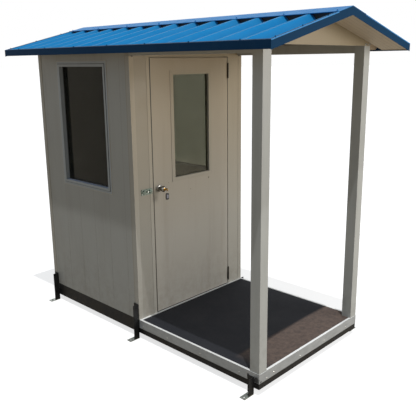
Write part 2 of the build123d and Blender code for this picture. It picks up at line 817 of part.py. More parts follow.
with BuildPart() as window_frame_left:
    with BuildSketch(Plane.YZ.offset(-half_width)):
        with Locations(window_middle):
            Rectangle(frame_outer_width, frame_outer_height)
            Rectangle(sash_width, sash_height, mode=Mode.SUBTRACT)
    extrude(amount=wall_thickness)
    with BuildSketch(Plane.YZ.offset(-half_width)):
        with Locations(window_middle):
            Rectangle(window_width, window_height)
            Rectangle(sash_width, sash_height, mode=Mode.SUBTRACT)
    extrude(amount=-bead_thickness)
    with BuildSketch(Plane.YZ.offset(-half_width + window_glass_depth - seat)):
        with Locations(window_middle):
            Rectangle(sash_width + 2 * groove, sash_height + 2 * groove)
    extrude(amount=glass_thickness + 2 * seat, mode=Mode.SUBTRACT)
window_frame_left.part.label = "window_frame_left"
export_step(window_frame_left.part, "parts/window_frame_left.step")

with BuildPart() as window_frame_right:
    mirror(window_frame_left.part, about=Plane.YZ)
window_frame_right.part.label = "window_frame_right"
export_step(window_frame_right.part, "parts/window_frame_right.step")

with BuildPart() as window_glass_left:
    with BuildSketch(Plane.YZ.offset(-half_width + window_glass_depth)):
        with Locations(window_middle):
            Rectangle(sash_width + 2 * (groove - seat), sash_height + 2 * (groove - seat))
    extrude(amount=glass_thickness)
window_glass_left.part.label = "window_glass_left"
export_step(window_glass_left.part, "parts/window_glass_left.step")

with BuildPart() as window_glass_right:
    mirror(window_glass_left.part, about=Plane.YZ)
window_glass_right.part.label = "window_glass_right"
export_step(window_glass_right.part, "parts/window_glass_right.step")
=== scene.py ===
"""Looks of the small metal hut with an open porch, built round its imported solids."""

import json
import random
from math import cos, pi, radians, sin, tan

import bmesh
import bpy
from mathutils import Matrix, Vector


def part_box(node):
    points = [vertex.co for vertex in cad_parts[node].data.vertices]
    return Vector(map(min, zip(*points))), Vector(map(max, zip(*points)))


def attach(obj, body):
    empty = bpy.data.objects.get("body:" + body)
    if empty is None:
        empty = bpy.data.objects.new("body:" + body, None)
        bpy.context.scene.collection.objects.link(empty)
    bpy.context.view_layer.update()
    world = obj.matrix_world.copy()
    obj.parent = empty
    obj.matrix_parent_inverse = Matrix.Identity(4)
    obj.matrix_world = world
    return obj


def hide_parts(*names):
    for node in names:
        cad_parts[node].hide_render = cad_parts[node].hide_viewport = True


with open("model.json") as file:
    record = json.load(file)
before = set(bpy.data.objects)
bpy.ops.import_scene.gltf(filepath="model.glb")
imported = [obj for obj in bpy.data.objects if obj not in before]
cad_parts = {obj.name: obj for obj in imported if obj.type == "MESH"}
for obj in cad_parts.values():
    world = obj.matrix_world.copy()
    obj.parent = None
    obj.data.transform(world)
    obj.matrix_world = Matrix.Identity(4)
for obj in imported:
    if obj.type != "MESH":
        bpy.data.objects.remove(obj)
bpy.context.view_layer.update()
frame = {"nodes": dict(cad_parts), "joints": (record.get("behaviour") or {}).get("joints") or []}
nodes = frame["nodes"]
scene = bpy.context.scene
scene.view_settings.view_transform = "Standard"

# Places read from the solids: x is across the hut, y runs back from its door wall, z is up
LEFT_WALL_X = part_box("left_wall")[0].x
FRONT_WALL_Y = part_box("front_gable")[0].y
BACK_WALL_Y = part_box("back_wall")[1].y
PORCH_FRONT_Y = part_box("base_rail_front")[0].y
PORCH_GABLE_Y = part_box("porch_gable")[0].y
PORCH_EDGE_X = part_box("porch_edge_right")[1].x
CORNER_FACE_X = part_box("corner_trims")[1].x
ROOF_LOW, ROOF_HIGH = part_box("ridge_cap")
CAP_HALF = ROOF_HIGH.x
EAVE_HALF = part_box("eave_fascia_right")[1].x
LEAF_LOW, LEAF_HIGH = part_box("door_leaf")
HINGE_X, HINGE_Y = frame["joints"][0]["pos_m"][:2]
SIDES = (("left", -1), ("right", 1))

# Roof sheets: pitch, and the ribs across them
PITCH = radians(14.5)
RIB_PLANE_RIDGE_Z = 2.409
RIB_SPACES = 14
END_RIB_INSET = 0.0195
RIB_STEP = (ROOF_HIGH.y - ROOF_LOW.y - 2 * END_RIB_INSET) / RIB_SPACES
RIB_HEIGHT = 0.037
RIB_TOP_HALF = 0.014
RIB_FOOT_HALF = 0.0429


def rib_plane(x):
    """Height of the plane through the rib tops."""
    return RIB_PLANE_RIDGE_Z - abs(x) * tan(PITCH)


def rib_y(index):
    """Middle of a rib, counted back from the porch end."""
    return ROOF_LOW.y + END_RIB_INSET + RIB_STEP * index


# Camera at the photograph's place, turned a little about its own line of sight
CAMERA_PLACE = Vector((-3.1782, -3.2276, 2.1031))
CAMERA_AIM = Vector((0.7007, 0.6729, -0.2372)).normalized()
CAMERA_ROLL = radians(-0.612)
CAMERA_LENS = 49.49
CAMERA_SENSOR = 36.0
CAMERA_REACH = 200.0

level_right = CAMERA_AIM.cross(Vector((0, 0, 1))).normalized()
level_up = level_right.cross(CAMERA_AIM)
right = level_right * cos(CAMERA_ROLL) + level_up * sin(CAMERA_ROLL)
up = level_up * cos(CAMERA_ROLL) - level_right * sin(CAMERA_ROLL)
camera_data = bpy.data.cameras.new("photo_camera")
camera_data.lens = CAMERA_LENS
camera_data.sensor_width = CAMERA_SENSOR
camera_data.clip_end = CAMERA_REACH
camera = bpy.data.objects.new("photo_camera", camera_data)
camera.matrix_world = (
    Matrix.Translation(CAMERA_PLACE) @ Matrix((right, up, -CAMERA_AIM)).transposed().to_4x4()
)
scene.collection.objects.link(camera)
scene.camera = camera


# Light: a plain pale room, a high lamp and a broad soft one from the front
ROOM_LEVEL = 0.37
ROOM_TINT = (0.84, 0.92, 1.0, 1.0)
ROOM_WHITE = (1.0, 1.0, 1.0, 1.0)
HIGH_LAMP_LEVEL = 2.2
HIGH_LAMP_PLACE = Vector((0, 0, 6))
HIGH_LAMP_AIM = Vector((0.15, 0.2166, -1.0))
HIGH_LAMP_SPREAD = radians(0.7)
FRONT_LAMP_LEVEL = 375.0
FRONT_LAMP_TINT = (1.0, 0.96, 0.9)
FRONT_LAMP_PLACE = Vector((3.2, -7.0, 2.6))
FRONT_LAMP_TARGET = Vector((0, -0.3, 1.1))
FRONT_LAMP_SIZE = 3.5


def add_lamp(name, kind, level, place, aim):
    """A lamp of one kind, turned along its aim."""
    lamp_data = bpy.data.lights.new(name, kind)
    lamp_data.energy = level
    lamp = bpy.data.objects.new(name, lamp_data)
    lamp.location = place
    lamp.rotation_mode = "QUATERNION"
    lamp.rotation_quaternion = aim.to_track_quat("-Z", "Y")
    scene.collection.objects.link(lamp)
    return lamp_data


high_lamp = add_lamp("high_lamp", "SUN", HIGH_LAMP_LEVEL, HIGH_LAMP_PLACE, HIGH_LAMP_AIM)
high_lamp.angle = HIGH_LAMP_SPREAD
front_lamp = add_lamp(
    "front_lamp", "AREA", FRONT_LAMP_LEVEL, FRONT_LAMP_PLACE, FRONT_LAMP_TARGET - FRONT_LAMP_PLACE
)
front_lamp.size = FRONT_LAMP_SIZE
front_lamp.color = FRONT_LAMP_TINT


def seen_directly(tree, *kinds):
    """1 where a ray of one of these kinds arrives, and otherwise 0."""
    rays = tree.nodes.new("ShaderNodeLightPath")
    total = rays.outputs[kinds[0]]
    for kind in kinds[1:]:
        either = tree.nodes.new("ShaderNodeMath")
        either.operation = "MAXIMUM"
        tree.links.new(total, either.inputs[0])
        tree.links.new(rays.outputs[kind], either.inputs[1])
        total = either.outputs[0]
    return total


world = bpy.data.worlds.new("pale_room")
scene.world = world
world.use_nodes = True
world_tree = world.node_tree
room_light = world_tree.nodes["Background"]
room_light.inputs["Color"].default_value = ROOM_TINT
room_light.inputs["Strength"].default_value = ROOM_LEVEL
room_white = world_tree.nodes.new("ShaderNodeBackground")
room_white.inputs["Color"].default_value = ROOM_WHITE
room = world_tree.nodes.new("ShaderNodeMixShader")
world_tree.links.new(
    seen_directly(world_tree, "Is Camera Ray", "Is Transmission Ray", "Is Glossy Ray"),
    room.inputs[0],
)
world_tree.links.new(room_light.outputs[0], room.inputs[1])
world_tree.links.new(room_white.outputs[0], room.inputs[2])
world_tree.links.new(room.outputs[0], world_tree.nodes["World Output"].inputs["Surface"])


class Finish:
    """A procedural surface worked out from places on the object, in metres."""

    def __init__(self, name, roughness, metallic=0.0, **sockets):
        self.material = bpy.data.materials.new(name)
        self.material.use_nodes = True
        self.tree = self.material.node_tree
        self.shader = self.tree.nodes["Principled BSDF"]
        self.shader.inputs["Roughness"].default_value = roughness
        self.shader.inputs["Metallic"].default_value = metallic
        for socket, value in sockets.items():
            self.shader.inputs[socket.replace("_", " ")].default_value = value
        self.place = self.tree.nodes.new("ShaderNodeTexCoord").outputs["Object"]
        self.normal = None

    def node(self, kind, links=(), **values):
        """A shader node with its settings, and its inputs linked or given their values."""
        made = self.tree.nodes.new(kind)
        for name, value in values.items():
            setattr(made, name, value)
        for socket, source in links:
            if hasattr(source, "is_output"):
                self.tree.links.new(source, made.inputs[socket])
            else:
                made.inputs[socket].default_value = source
        return made

    def mapped(self, stretch=(1, 1, 1)):
        """The object's coordinates, scaled along each axis."""
        return self.node(
            "ShaderNodeMapping", (("Vector", self.place), ("Scale", stretch))
        ).outputs["Vector"]

    def noise(self, scale, stretch=(1, 1, 1), detail=4.0, rough=0.55):
        """Clouds from 0 to 1, long along an axis whose stretch is under 1."""
        return self.node("ShaderNodeTexNoise", (
            ("Vector", self.mapped(stretch)), ("Scale", scale), ("Detail", detail),
            ("Roughness", rough),
        )).outputs["Fac"]

    def cells(self, scale):
        """Distance to the nearest of many scattered points, and a colour for each."""
        made = self.node(
            "ShaderNodeTexVoronoi", (("Vector", self.mapped()), ("Scale", scale)), feature="F1"
        )
        return made.outputs["Distance"], made.outputs["Color"]

    def axis(self, letter):
        return self.node("ShaderNodeSeparateXYZ", (("Vector", self.place),)).outputs[letter]

    def facing(self, letter):
        """How far the face itself points along an axis, from -1 to 1."""
        outward = self.tree.nodes.new("ShaderNodeNewGeometry").outputs["True Normal"]
        return self.node("ShaderNodeSeparateXYZ", (("Vector", outward),)).outputs[letter]

    def span(self, value, low, high, out_low=0.0, out_high=1.0):
        """Value taken from low..high to out_low..out_high, and held there."""
        return self.node("ShaderNodeMapRange", (
            ("Value", value), ("From Min", low), ("From Max", high), ("To Min", out_low),
            ("To Max", out_high),
        )).outputs["Result"]

    def maths(self, operation, first, second=0.0):
        return self.node(
            "ShaderNodeMath", ((0, first), (1, second)), operation=operation
        ).outputs["Value"]

    def both(self, first, second):
        return self.maths("MULTIPLY", first, second)

    def spot(self, place, radius):
        """1 within a ragged patch round a place, and otherwise 0."""
        apart = self.node(
            "ShaderNodeVectorMath", ((0, self.place), (1, place)), operation="DISTANCE"
        ).outputs["Value"]
        ragged = self.maths("ADD", apart, self.both(self.noise(90.0, detail=5.0), radius))
        return self.span(ragged, radius, radius * 1.3, 1.0, 0.0)

    def lines(self, letter, start, pitch, half_width):
        """Thin soft-edged lines square to an axis, one every pitch from start."""
        turns = self.maths("DIVIDE", self.maths("SUBTRACT", self.axis(letter), start), pitch)
        share = half_width / pitch
        return self.span(self.maths("PINGPONG", turns, 0.5), share * 0.6, share * 1.4, 1.0, 0.0)

    def mix(self, amount, under, over, blend="MIX"):
        made = self.node("ShaderNodeMix", data_type="RGBA", blend_type=blend)
        for index, source in ((0, amount), (6, under), (7, over)):
            if hasattr(source, "is_output"):
                self.tree.links.new(source, made.inputs[index])
            elif index == 0:
                made.inputs[0].default_value = source
            else:
                made.inputs[index].default_value = (*source, 1.0)
        return made.outputs[2]

    def colour(self, source):
        self.tree.links.new(source, self.shader.inputs["Base Color"])

    def roughness(self, source):
        self.tree.links.new(source, self.shader.inputs["Roughness"])

    def relief(self, height, depth):
        """Adds a bump of that depth in metres."""
        links = [("Height", height), ("Distance", depth), ("Strength", 1.0)]
        if self.normal is not None:
            links.append(("Normal", self.normal))
        self.normal = self.node("ShaderNodeBump", links).outputs["Normal"]
        self.tree.links.new(self.normal, self.shader.inputs["Normal"])


def srgb(red, green, blue):
    """A colour given as 0 to 255 on screen, as linear light."""
    return tuple(
        (c / 255 / 12.92) if c <= 10 else ((c / 255 + 0.055) / 1.055) ** 2.4
        for c in (red, green, blue)
    )


def shaded(colour, share):
    """The same colour at a share of its light."""
    return tuple(c * share for c in colour)


# Wall skins: their colours, the places of their seams, and the chips in the door's paint
WALL_GREY = srgb(151, 152, 149)
SIDE_GRIME = srgb(104, 98, 84)
FRONT_GRIME = srgb(104, 92, 74)
# Painted shade: a warm darkening multiplied into the upper faces toward the porch, for the porch
# roof's shade and warm bounce light
PAINTED_SHADE_TOP = (0.87, 0.73, 0.52)
PAINT_CHIP = srgb(62, 54, 42)
WALL_SEAM_PITCH = 0.2
SIDE_SEAM_Y = 0.713
SEAM_HALF_WIDTH = 0.0022
LINING_SEAM_Y = 0.012
LINING_SEAM_PITCH = 0.034
LEAF_CHIPS = (
    ((0.19, -0.002, 1.165), 0.011), ((-0.02, -0.002, 1.1), 0.005), ((-0.26, -0.002, 1.19), 0.004),
)


def painted_sheet(
    name, paint, grime, roughness=0.42, painted_shade_top=None, seams=None, painted_sky_ledge=None, chips=()
):
    """Factory-painted steel skin: soft waves, rain streaks, splashes low down, fine dust.

    The top tint is painted shade: it darkens and warms the faces toward the porch, more so higher
    up, for the shade under the porch roof and its warm bounce light. The ledge colour is painted
    sky light on faces that look up. seams are an axis, a start and a pitch, and chips are places
    and radii.
    """
    finish = Finish(name, roughness, Specular_IOR_Level=0.3)
    blotches = finish.span(finish.noise(1.7, detail=5.0), 0.35, 0.7)
    rain = finish.noise(9.0, stretch=(1, 1, 0.09), detail=6.0, rough=0.65)
    streaks = finish.span(rain, 0.52, 0.75)
    specks = finish.span(finish.noise(120.0, detail=3.0), 0.62, 0.78)
    low_down = finish.span(finish.axis("Z"), 0.16, 0.62, 1.0, 0.0)
    spatter = finish.span(finish.noise(14.0, detail=7.0, rough=0.7), 0.42, 0.7)
    worn = finish.mix(finish.both(blotches, 0.2), paint, shaded(paint, 0.8))
    worn = finish.mix(finish.both(streaks, 0.16), worn, grime)
    worn = finish.mix(finish.both(finish.both(low_down, spatter), 0.3), worn, grime)
    worn = finish.mix(finish.both(specks, 0.14), worn, grime)
    # Painted shade: faces toward the porch grow darker and warmer higher up, for the shade under
    # the porch roof and its warm bounce light
    if painted_shade_top:
        to_porch = finish.span(finish.facing("Y"), -0.6, -0.3, 1.0, 0.0)
        higher = finish.both(to_porch, finish.span(finish.axis("Z"), 0.75, 2.2))
        worn = finish.mix(higher, worn, painted_shade_top, "MULTIPLY")
    # Painted light: faces that look up take a paler colour, for the sky lighting them
    if painted_sky_ledge:
        worn = finish.mix(finish.span(finish.facing("Z"), 0.7, 0.9), worn, painted_sky_ledge)
    for place, radius in chips:
        worn = finish.mix(finish.both(finish.spot(place, radius), 0.75), worn, PAINT_CHIP)
    if seams:
        joint = finish.lines(*seams, SEAM_HALF_WIDTH)
        worn = finish.mix(finish.both(joint, 0.3), worn, grime)
        finish.relief(joint, -0.0009)
    finish.colour(worn)
    finish.roughness(
        finish.span(finish.noise(6.0, detail=6.0), 0.3, 0.7, roughness - 0.07, roughness + 0.12)
    )
    finish.relief(finish.noise(2.2, stretch=(1, 1, 0.6), detail=2.0), 0.0035)
    finish.relief(finish.noise(650.0, detail=1.0), 0.00004)
    return finish


side_paint = painted_sheet(
    "side_paint_skin", WALL_GREY, SIDE_GRIME, seams=("Y", SIDE_SEAM_Y, WALL_SEAM_PITCH)
)
back_paint = painted_sheet(
    "back_paint_skin", WALL_GREY, SIDE_GRIME, seams=("X", 0.0, WALL_SEAM_PITCH)
)
front_paint = painted_sheet(
    "front_paint_skin", srgb(156, 154, 147), FRONT_GRIME, painted_shade_top=PAINTED_SHADE_TOP
)
# Painted shade: a darker copy of the front paint for the pier and the porch gable, which stand in
# shade
pier_shade_paint = painted_sheet(
    "pier_painted_shade_skin", srgb(145, 143, 136), FRONT_GRIME, painted_shade_top=PAINTED_SHADE_TOP
)
leaf_paint = painted_sheet(
    "leaf_paint_skin", srgb(160, 157, 150), FRONT_GRIME, painted_shade_top=PAINTED_SHADE_TOP, chips=LEAF_CHIPS
)
post_paint = painted_sheet(
    "post_paint_coat", srgb(161, 163, 161), srgb(84, 82, 76), roughness=0.38
)
window_paint = painted_sheet(
    "window_paint_coat", srgb(152, 158, 162), srgb(96, 90, 78), roughness=0.36,
    # Painted sky light: a pale bluish colour on the frame faces that look up
    painted_sky_ledge=srgb(166, 180, 204),
)
soffit_paint = painted_sheet(
    "soffit_paint_skin", srgb(188, 178, 164), srgb(120, 108, 92),
    seams=("Y", LINING_SEAM_Y, LINING_SEAM_PITCH),
)


# Places and radii of dark spots on the light edge at the foot of the left post
FOOT_DARK_SPOTS = (
    ((-0.604, PORCH_FRONT_Y + 0.022, 0.112), 0.034),
    ((-0.604, PORCH_FRONT_Y + 0.09, 0.128), 0.013),
    ((-0.584, PORCH_FRONT_Y, 0.1), 0.012),
)
FOOT_SPOT_BLACK = srgb(30, 30, 30)


def folded_steel(name, bright, dull, painted_highlight_top, roughness=0.36):
    """Light folded steel: scuffs, small dents, tops painted near white as a painted highlight, and
    dark spots.
    """
    finish = Finish(name, roughness, metallic=0.25)
    scuffs = finish.span(
        finish.noise(40.0, stretch=(0.25, 0.25, 1.0), detail=7.0, rough=0.7), 0.45, 0.72
    )
    clouds = finish.span(finish.noise(7.0, detail=4.0), 0.35, 0.7)
    face = finish.mix(finish.both(clouds, 0.3), bright, dull)
    face = finish.mix(finish.both(scuffs, 0.4), face, dull)
    # Painted highlight: faces that look up are painted near white, for sun glinting on the top
    # lips
    face = finish.mix(finish.span(finish.facing("Z"), 0.7, 0.9), face, painted_highlight_top)
    for place, radius in FOOT_DARK_SPOTS:
        face = finish.mix(finish.both(finish.spot(place, radius), 0.85), face, FOOT_SPOT_BLACK)
    finish.colour(face)
    finish.roughness(finish.span(scuffs, 0.0, 1.0, roughness, roughness + 0.22))
    finish.relief(finish.noise(18.0, detail=3.0), 0.0006)
    return finish


# The last colour is the painted highlight on the faces that look up
edge_steel = folded_steel(
    "edge_trim_steel", srgb(164, 168, 171), srgb(112, 114, 115), srgb(226, 228, 228)
)


# Roof coats
ROOF_DUST = srgb(104, 122, 132)


def coated_roof(name, paint, faded, dirt, sheen=0.03, backing=None):
    """Blue colour-coated steel: run-off lines down the slope, fading and dust.

    With a backing colour, the underside has that colour, and the pans and the rib tops are
    painted darker than the rib sides, a painted shade that evens out the light on them.
    """
    finish = Finish(name, 0.5, Specular_IOR_Level=sheen)
    run_off = finish.span(
        finish.noise(30.0, stretch=(0.06, 1.0, 0.06), detail=6.0, rough=0.65), 0.45, 0.75
    )
    fading = finish.span(finish.noise(2.4, detail=4.0), 0.35, 0.7)
    grit = finish.span(finish.noise(220.0, detail=2.0), 0.58, 0.8)
    face = finish.mix(finish.both(fading, 0.4), paint, faded)
    face = finish.mix(finish.both(run_off, 0.16 * dirt), face, ROOF_DUST)
    face = finish.mix(finish.both(grit, 0.1 * dirt), face, ROOF_DUST)
    if backing:
        # Painted shade: pans and rib tops, which face the light, are darkened toward the rib
        # sides' tone
        flat_painted_shade = finish.span(finish.facing("Z"), 0.85, 0.95)
        face = finish.mix(finish.both(flat_painted_shade, 0.45), face, shaded(paint, 0.6))
        smudged = finish.mix(finish.both(run_off, 0.4), backing, shaded(backing, 0.6))
        face = finish.mix(finish.span(finish.facing("Z"), -0.1, 0.0), smudged, face)
    finish.colour(face)
    finish.roughness(finish.span(run_off, 0.0, 1.0, 0.45, 0.65))
    finish.relief(finish.noise(3.0, detail=2.0), 0.002)
    finish.relief(finish.noise(700.0, detail=1.0), 0.00003)
    return finish


roof_blue = coated_roof(
    "roof_blue_coat", srgb(28, 130, 190), srgb(54, 146, 202), 0.7, backing=srgb(184, 168, 148)
)
cap_blue = coated_roof("cap_blue_coat", srgb(34, 116, 178), srgb(60, 132, 188), 0.8, sheen=0.1)
# Painted highlight: a lighter copy of the roof blue for the folded hems, where light catches their
# edges
hem_highlight_blue = coated_roof("hem_painted_highlight_coat", srgb(50, 124, 184), srgb(84, 148, 200), 0.6, sheen=0.08)
# Painted shade: darker copies of the roof blue for the barges and eave fascias, which stand in
# shade
barge_shade_blue = coated_roof("barge_painted_shade_coat", srgb(4, 46, 76), srgb(8, 56, 90), 0.1)
fascia_shade_blue = coated_roof("fascia_painted_shade_coat", srgb(14, 46, 76), srgb(18, 54, 88), 0.2)


def painted_iron(name, paint, rust, dust):
    """Brushed-on black paint over steel: patches of dust, and rust where it is chipped."""
    finish = Finish(name, 0.5, Specular_IOR_Level=0.3)
    chipped = finish.span(finish.noise(34.0, detail=8.0, rough=0.75), 0.62, 0.68)
    dusty = finish.span(finish.noise(11.0, detail=7.0, rough=0.7), 0.42, 0.72)
    face = finish.mix(finish.both(dusty, 0.3), paint, dust)
    face = finish.mix(finish.both(chipped, 0.6), face, rust)
    finish.colour(face)
    finish.roughness(finish.span(dusty, 0.0, 1.0, 0.4, 0.8))
    finish.relief(finish.noise(90.0, detail=5.0), 0.0004)
    finish.relief(chipped, -0.0002)
    return finish


base_black = painted_iron("base_black_paint", srgb(15, 16, 18), srgb(66, 46, 34), srgb(48, 48, 47))


def zinc_coat(name, bright, dull, stain):
    """Galvanised steel: bright and dull spangle flakes, and a few stains."""
    finish = Finish(name, 0.42, metallic=0.55)
    flake_tone = finish.cells(90.0)[1]
    tone = finish.node("ShaderNodeSeparateColor", (("Color", flake_tone),)).outputs["Red"]
    stained = finish.span(finish.noise(45.0, detail=6.0, rough=0.7), 0.56, 0.68)
    face = finish.mix(tone, bright, dull)
    face = finish.mix(finish.both(stained, 0.7), face, stain)
    finish.colour(face)
    finish.roughness(finish.span(tone, 0.0, 1.0, 0.3, 0.55))
    finish.relief(finish.noise(150.0, detail=4.0), 0.0002)
    return finish


galvanised = zinc_coat(
    "galvanised_zinc", srgb(186, 190, 184), srgb(128, 136, 130), srgb(72, 74, 62)
)
latch_zinc = zinc_coat("latch_zinc_dull", srgb(132, 146, 138), srgb(88, 100, 92), srgb(54, 56, 44))


# Soil on the mat, laid only over the sunlit strip and so partly painted sunlight, ends over these
# y toward the door, and over these x toward the left post
SUNLIT_SOIL_BACK_Y = (PORCH_FRONT_Y + 0.25, PORCH_FRONT_Y + 0.28)
SUNLIT_SOIL_LEFT_X = (-0.54, -0.4)


def trodden_mat(name):
    """Rubber matting: fine pebble, dull dust, and brown soil at the front, laid just over the
    sunlit strip, so partly painted sunlight.
    """
    finish = Finish(name, 0.85, Specular_IOR_Level=0.25)
    dust = finish.span(finish.noise(5.0, detail=7.0, rough=0.65), 0.4, 0.75)
    face = finish.mix(finish.both(dust, 0.3), srgb(26, 28, 34), srgb(52, 53, 56))
    # Painted light: the soil is masked to where the sun falls, ending at the roof's shade and at
    # the left post's shade
    sunlit_near_front = finish.span(finish.axis("Y"), *SUNLIT_SOIL_BACK_Y, 1.0, 0.0)
    sunlit_past_post = finish.both(sunlit_near_front, finish.span(finish.axis("X"), *SUNLIT_SOIL_LEFT_X))
    clods = finish.span(finish.noise(26.0, detail=9.0, rough=0.75), 0.15, 0.6)
    soil_and_sunlight = finish.both(sunlit_past_post, clods)
    face = finish.mix(finish.both(soil_and_sunlight, 0.85), face, srgb(98, 84, 76))
    finish.colour(face)
    finish.relief(finish.cells(330.0)[0], 0.0006)
    finish.relief(finish.noise(6.0, detail=2.0), 0.001)
    return finish


mat_rubber = trodden_mat("mat_rubber_pebbled")


def boarded(name):
    """Plain floor board with its grain across the hut."""
    finish = Finish(name, 0.7)
    grain = finish.noise(24.0, stretch=(0.15, 2.2, 1.0), detail=8.0, rough=0.65)
    finish.colour(finish.mix(finish.span(grain, 0.35, 0.7), srgb(146, 120, 88), srgb(98, 76, 54)))
    finish.relief(grain, 0.0008)
    return finish


floor_board = boarded("floor_board_grain")


def tinted_pane(name, clear, filmed, ior):
    """Smoked glass with a faint uneven film of dust."""
    finish = Finish(name, 0.0, Transmission_Weight=1.0, IOR=ior)
    film = finish.span(finish.noise(7.0, detail=6.0, rough=0.7), 0.3, 0.75)
    finish.colour(finish.mix(film, clear, filmed))
    finish.roughness(finish.span(film, 0.0, 1.0, 0.0, 0.03))
    return finish


window_tint = tinted_pane("window_tint_glass", srgb(104, 106, 102), srgb(90, 90, 84), 1.3)
door_tint = tinted_pane("door_tint_glass", srgb(184, 184, 160), srgb(160, 158, 134), 1.45)


def turned_metal(name, bright, dull, roughness, metallic=1.0, scale=160.0):
    """Bare or plated metal with fine scratches and handling marks."""
    finish = Finish(name, roughness, metallic=metallic)
    scratches = finish.noise(scale, stretch=(1, 1, 0.3), detail=6.0, rough=0.7)
    marks = finish.span(scratches, 0.42, 0.75)
    finish.colour(finish.mix(marks, bright, dull))
    finish.roughness(finish.span(marks, 0.0, 1.0, roughness * 0.7, roughness * 1.7))
    finish.relief(finish.noise(scale * 3, detail=3.0), 0.00004)
    return finish


hinge_steel = turned_metal(
    "hinge_steel_dark", srgb(64, 58, 50), srgb(36, 32, 28), 0.5, metallic=0.4
)
knob_chrome = turned_metal(
    "knob_chrome_plate", srgb(150, 149, 145), srgb(72, 70, 64), 0.2, scale=90.0
)
key_brass = turned_metal("key_brass_plain", srgb(186, 146, 70), srgb(104, 74, 32), 0.34)
screw_zinc = turned_metal(
    "screw_zinc_plate", srgb(200, 200, 196), srgb(132, 128, 120), 0.32, metallic=0.8
)


def moulded(name, colour, roughness, speck=1.25):
    """Moulded plastic or rubber with a faint grain."""
    finish = Finish(name, roughness)
    tone = finish.span(finish.noise(60.0, detail=5.0), 0.35, 0.7)
    finish.colour(finish.mix(tone, colour, tuple(min(1.0, c * speck + 0.004) for c in colour)))
    finish.relief(finish.noise(900.0, detail=2.0), 0.00006)
    return finish


fob_black = moulded("fob_black_plastic", srgb(28, 28, 32), 0.42)
fob_inlay_grey = moulded("fob_inlay_plastic", srgb(112, 114, 126), 0.42)
seal_rubber = moulded("seal_rubber_black", srgb(24, 24, 24), 0.62)
edge_rubber = moulded("edge_rubber_olive", srgb(46, 42, 32), 0.6)
# Grey rubber for the window gaskets, dark enough to stand for the shadow line round the sashes:
# painted shadow
gasket_shadow_grey = moulded("gasket_painted_shadow_grey", srgb(58, 60, 60), 0.6)
sealant_bead = moulded("sealant_bead_cream", srgb(176, 168, 154), 0.5, speck=0.86)

# Finishes of the solids: each takes its slot's, except those that have one of their own
slot_finish = {
    "wall_paint": front_paint, "post_paint": post_paint, "window_paint": window_paint,
    "edge_trim": edge_steel, "roof_blue": roof_blue, "base_black": base_black,
    "galvanised": galvanised, "floor_board": floor_board, "mat_rubber": mat_rubber,
    "glass": window_tint, "hinge_steel": hinge_steel, "knob_chrome": knob_chrome,
    "key_brass": key_brass, "fob_black": fob_black,
}
own_finish = {
    "left_wall": side_paint, "right_wall": side_paint, "back_wall": back_paint,
    "front_wall_left": pier_shade_paint, "porch_gable": pier_shade_paint, "door_leaf": leaf_paint,
    "door_glass": door_tint, "ridge_cap": cap_blue, "barge_front": barge_shade_blue,
    "barge_back": barge_shade_blue, "eave_fascia_left": fascia_shade_blue,
    "eave_fascia_right": fascia_shade_blue, "latch_plate": latch_zinc,
}
for node in nodes.values():
    slot_name = node.data.materials[0].name.split(".")[0] if node.data.materials else ""
    if slot_name not in slot_finish:
        raise SystemExit(f"no finish for {node.name}: {slot_name}")
    node.data.materials.clear()
    node.data.materials.append(own_finish.get(node.name, slot_finish[slot_name]).material)


# Floor: white to the camera with the hut's shadow kept, warm and darker as a bounce
FLOOR_HALF_WIDTH = 900.0
FLOOR_BOUNCE = (0.36, 0.31, 0.24, 1.0)
FLOOR_PALE = (0.42, 0.42, 0.42, 1.0)
FLOOR_GLOW = 0.72

floor_material = bpy.data.materials.new("pale_floor")
floor_material.use_nodes = True
floor_tree = floor_material.node_tree
floor_tree.nodes.remove(floor_tree.nodes["Principled BSDF"])
floor_bounce = floor_tree.nodes.new("ShaderNodeBsdfDiffuse")
floor_bounce.inputs["Color"].default_value = FLOOR_BOUNCE
floor_pale = floor_tree.nodes.new("ShaderNodeBsdfDiffuse")
floor_pale.inputs["Color"].default_value = FLOOR_PALE
floor_glow = floor_tree.nodes.new("ShaderNodeEmission")
floor_glow.inputs["Strength"].default_value = FLOOR_GLOW
floor_sum = floor_tree.nodes.new("ShaderNodeAddShader")
floor_tree.links.new(floor_pale.outputs[0], floor_sum.inputs[0])
floor_tree.links.new(floor_glow.outputs[0], floor_sum.inputs[1])
floor_mix = floor_tree.nodes.new("ShaderNodeMixShader")
floor_tree.links.new(
    seen_directly(floor_tree, "Is Camera Ray", "Is Transmission Ray"), floor_mix.inputs[0]
)
floor_tree.links.new(floor_bounce.outputs[0], floor_mix.inputs[1])
floor_tree.links.new(floor_sum.outputs[0], floor_mix.inputs[2])
floor_tree.links.new(floor_mix.outputs[0], floor_tree.nodes["Material Output"].inputs["Surface"])

floor_shape = bmesh.new()
bmesh.ops.create_grid(floor_shape, x_segments=1, y_segments=1, size=FLOOR_HALF_WIDTH)
floor_mesh = bpy.data.meshes.new("studio_floor")
floor_shape.to_mesh(floor_mesh)
floor_shape.free()
floor_mesh.materials.append(floor_material)
studio_floor = bpy.data.objects.new("studio_floor", floor_mesh)
scene.collection.objects.link(studio_floor)


# Making pieces
def add_piece(name, shape, finish, body, smooth_angle=None):
    """Turns a finished bmesh into a piece that rides on a body."""
    bmesh.ops.dissolve_degenerate(shape, dist=0.00001, edges=shape.edges)
    bmesh.ops.recalc_face_normals(shape, faces=shape.faces)
    mesh = bpy.data.meshes.new(name)
    shape.to_mesh(mesh)
    shape.free()
    mesh.materials.append(finish.material)
    piece = bpy.data.objects.new(name, mesh)
    scene.collection.objects.link(piece)
    if smooth_angle is not None:
        mesh.shade_smooth()
        mesh.set_sharp_from_angle(angle=radians(smooth_angle))
    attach(piece, body)
    return piece


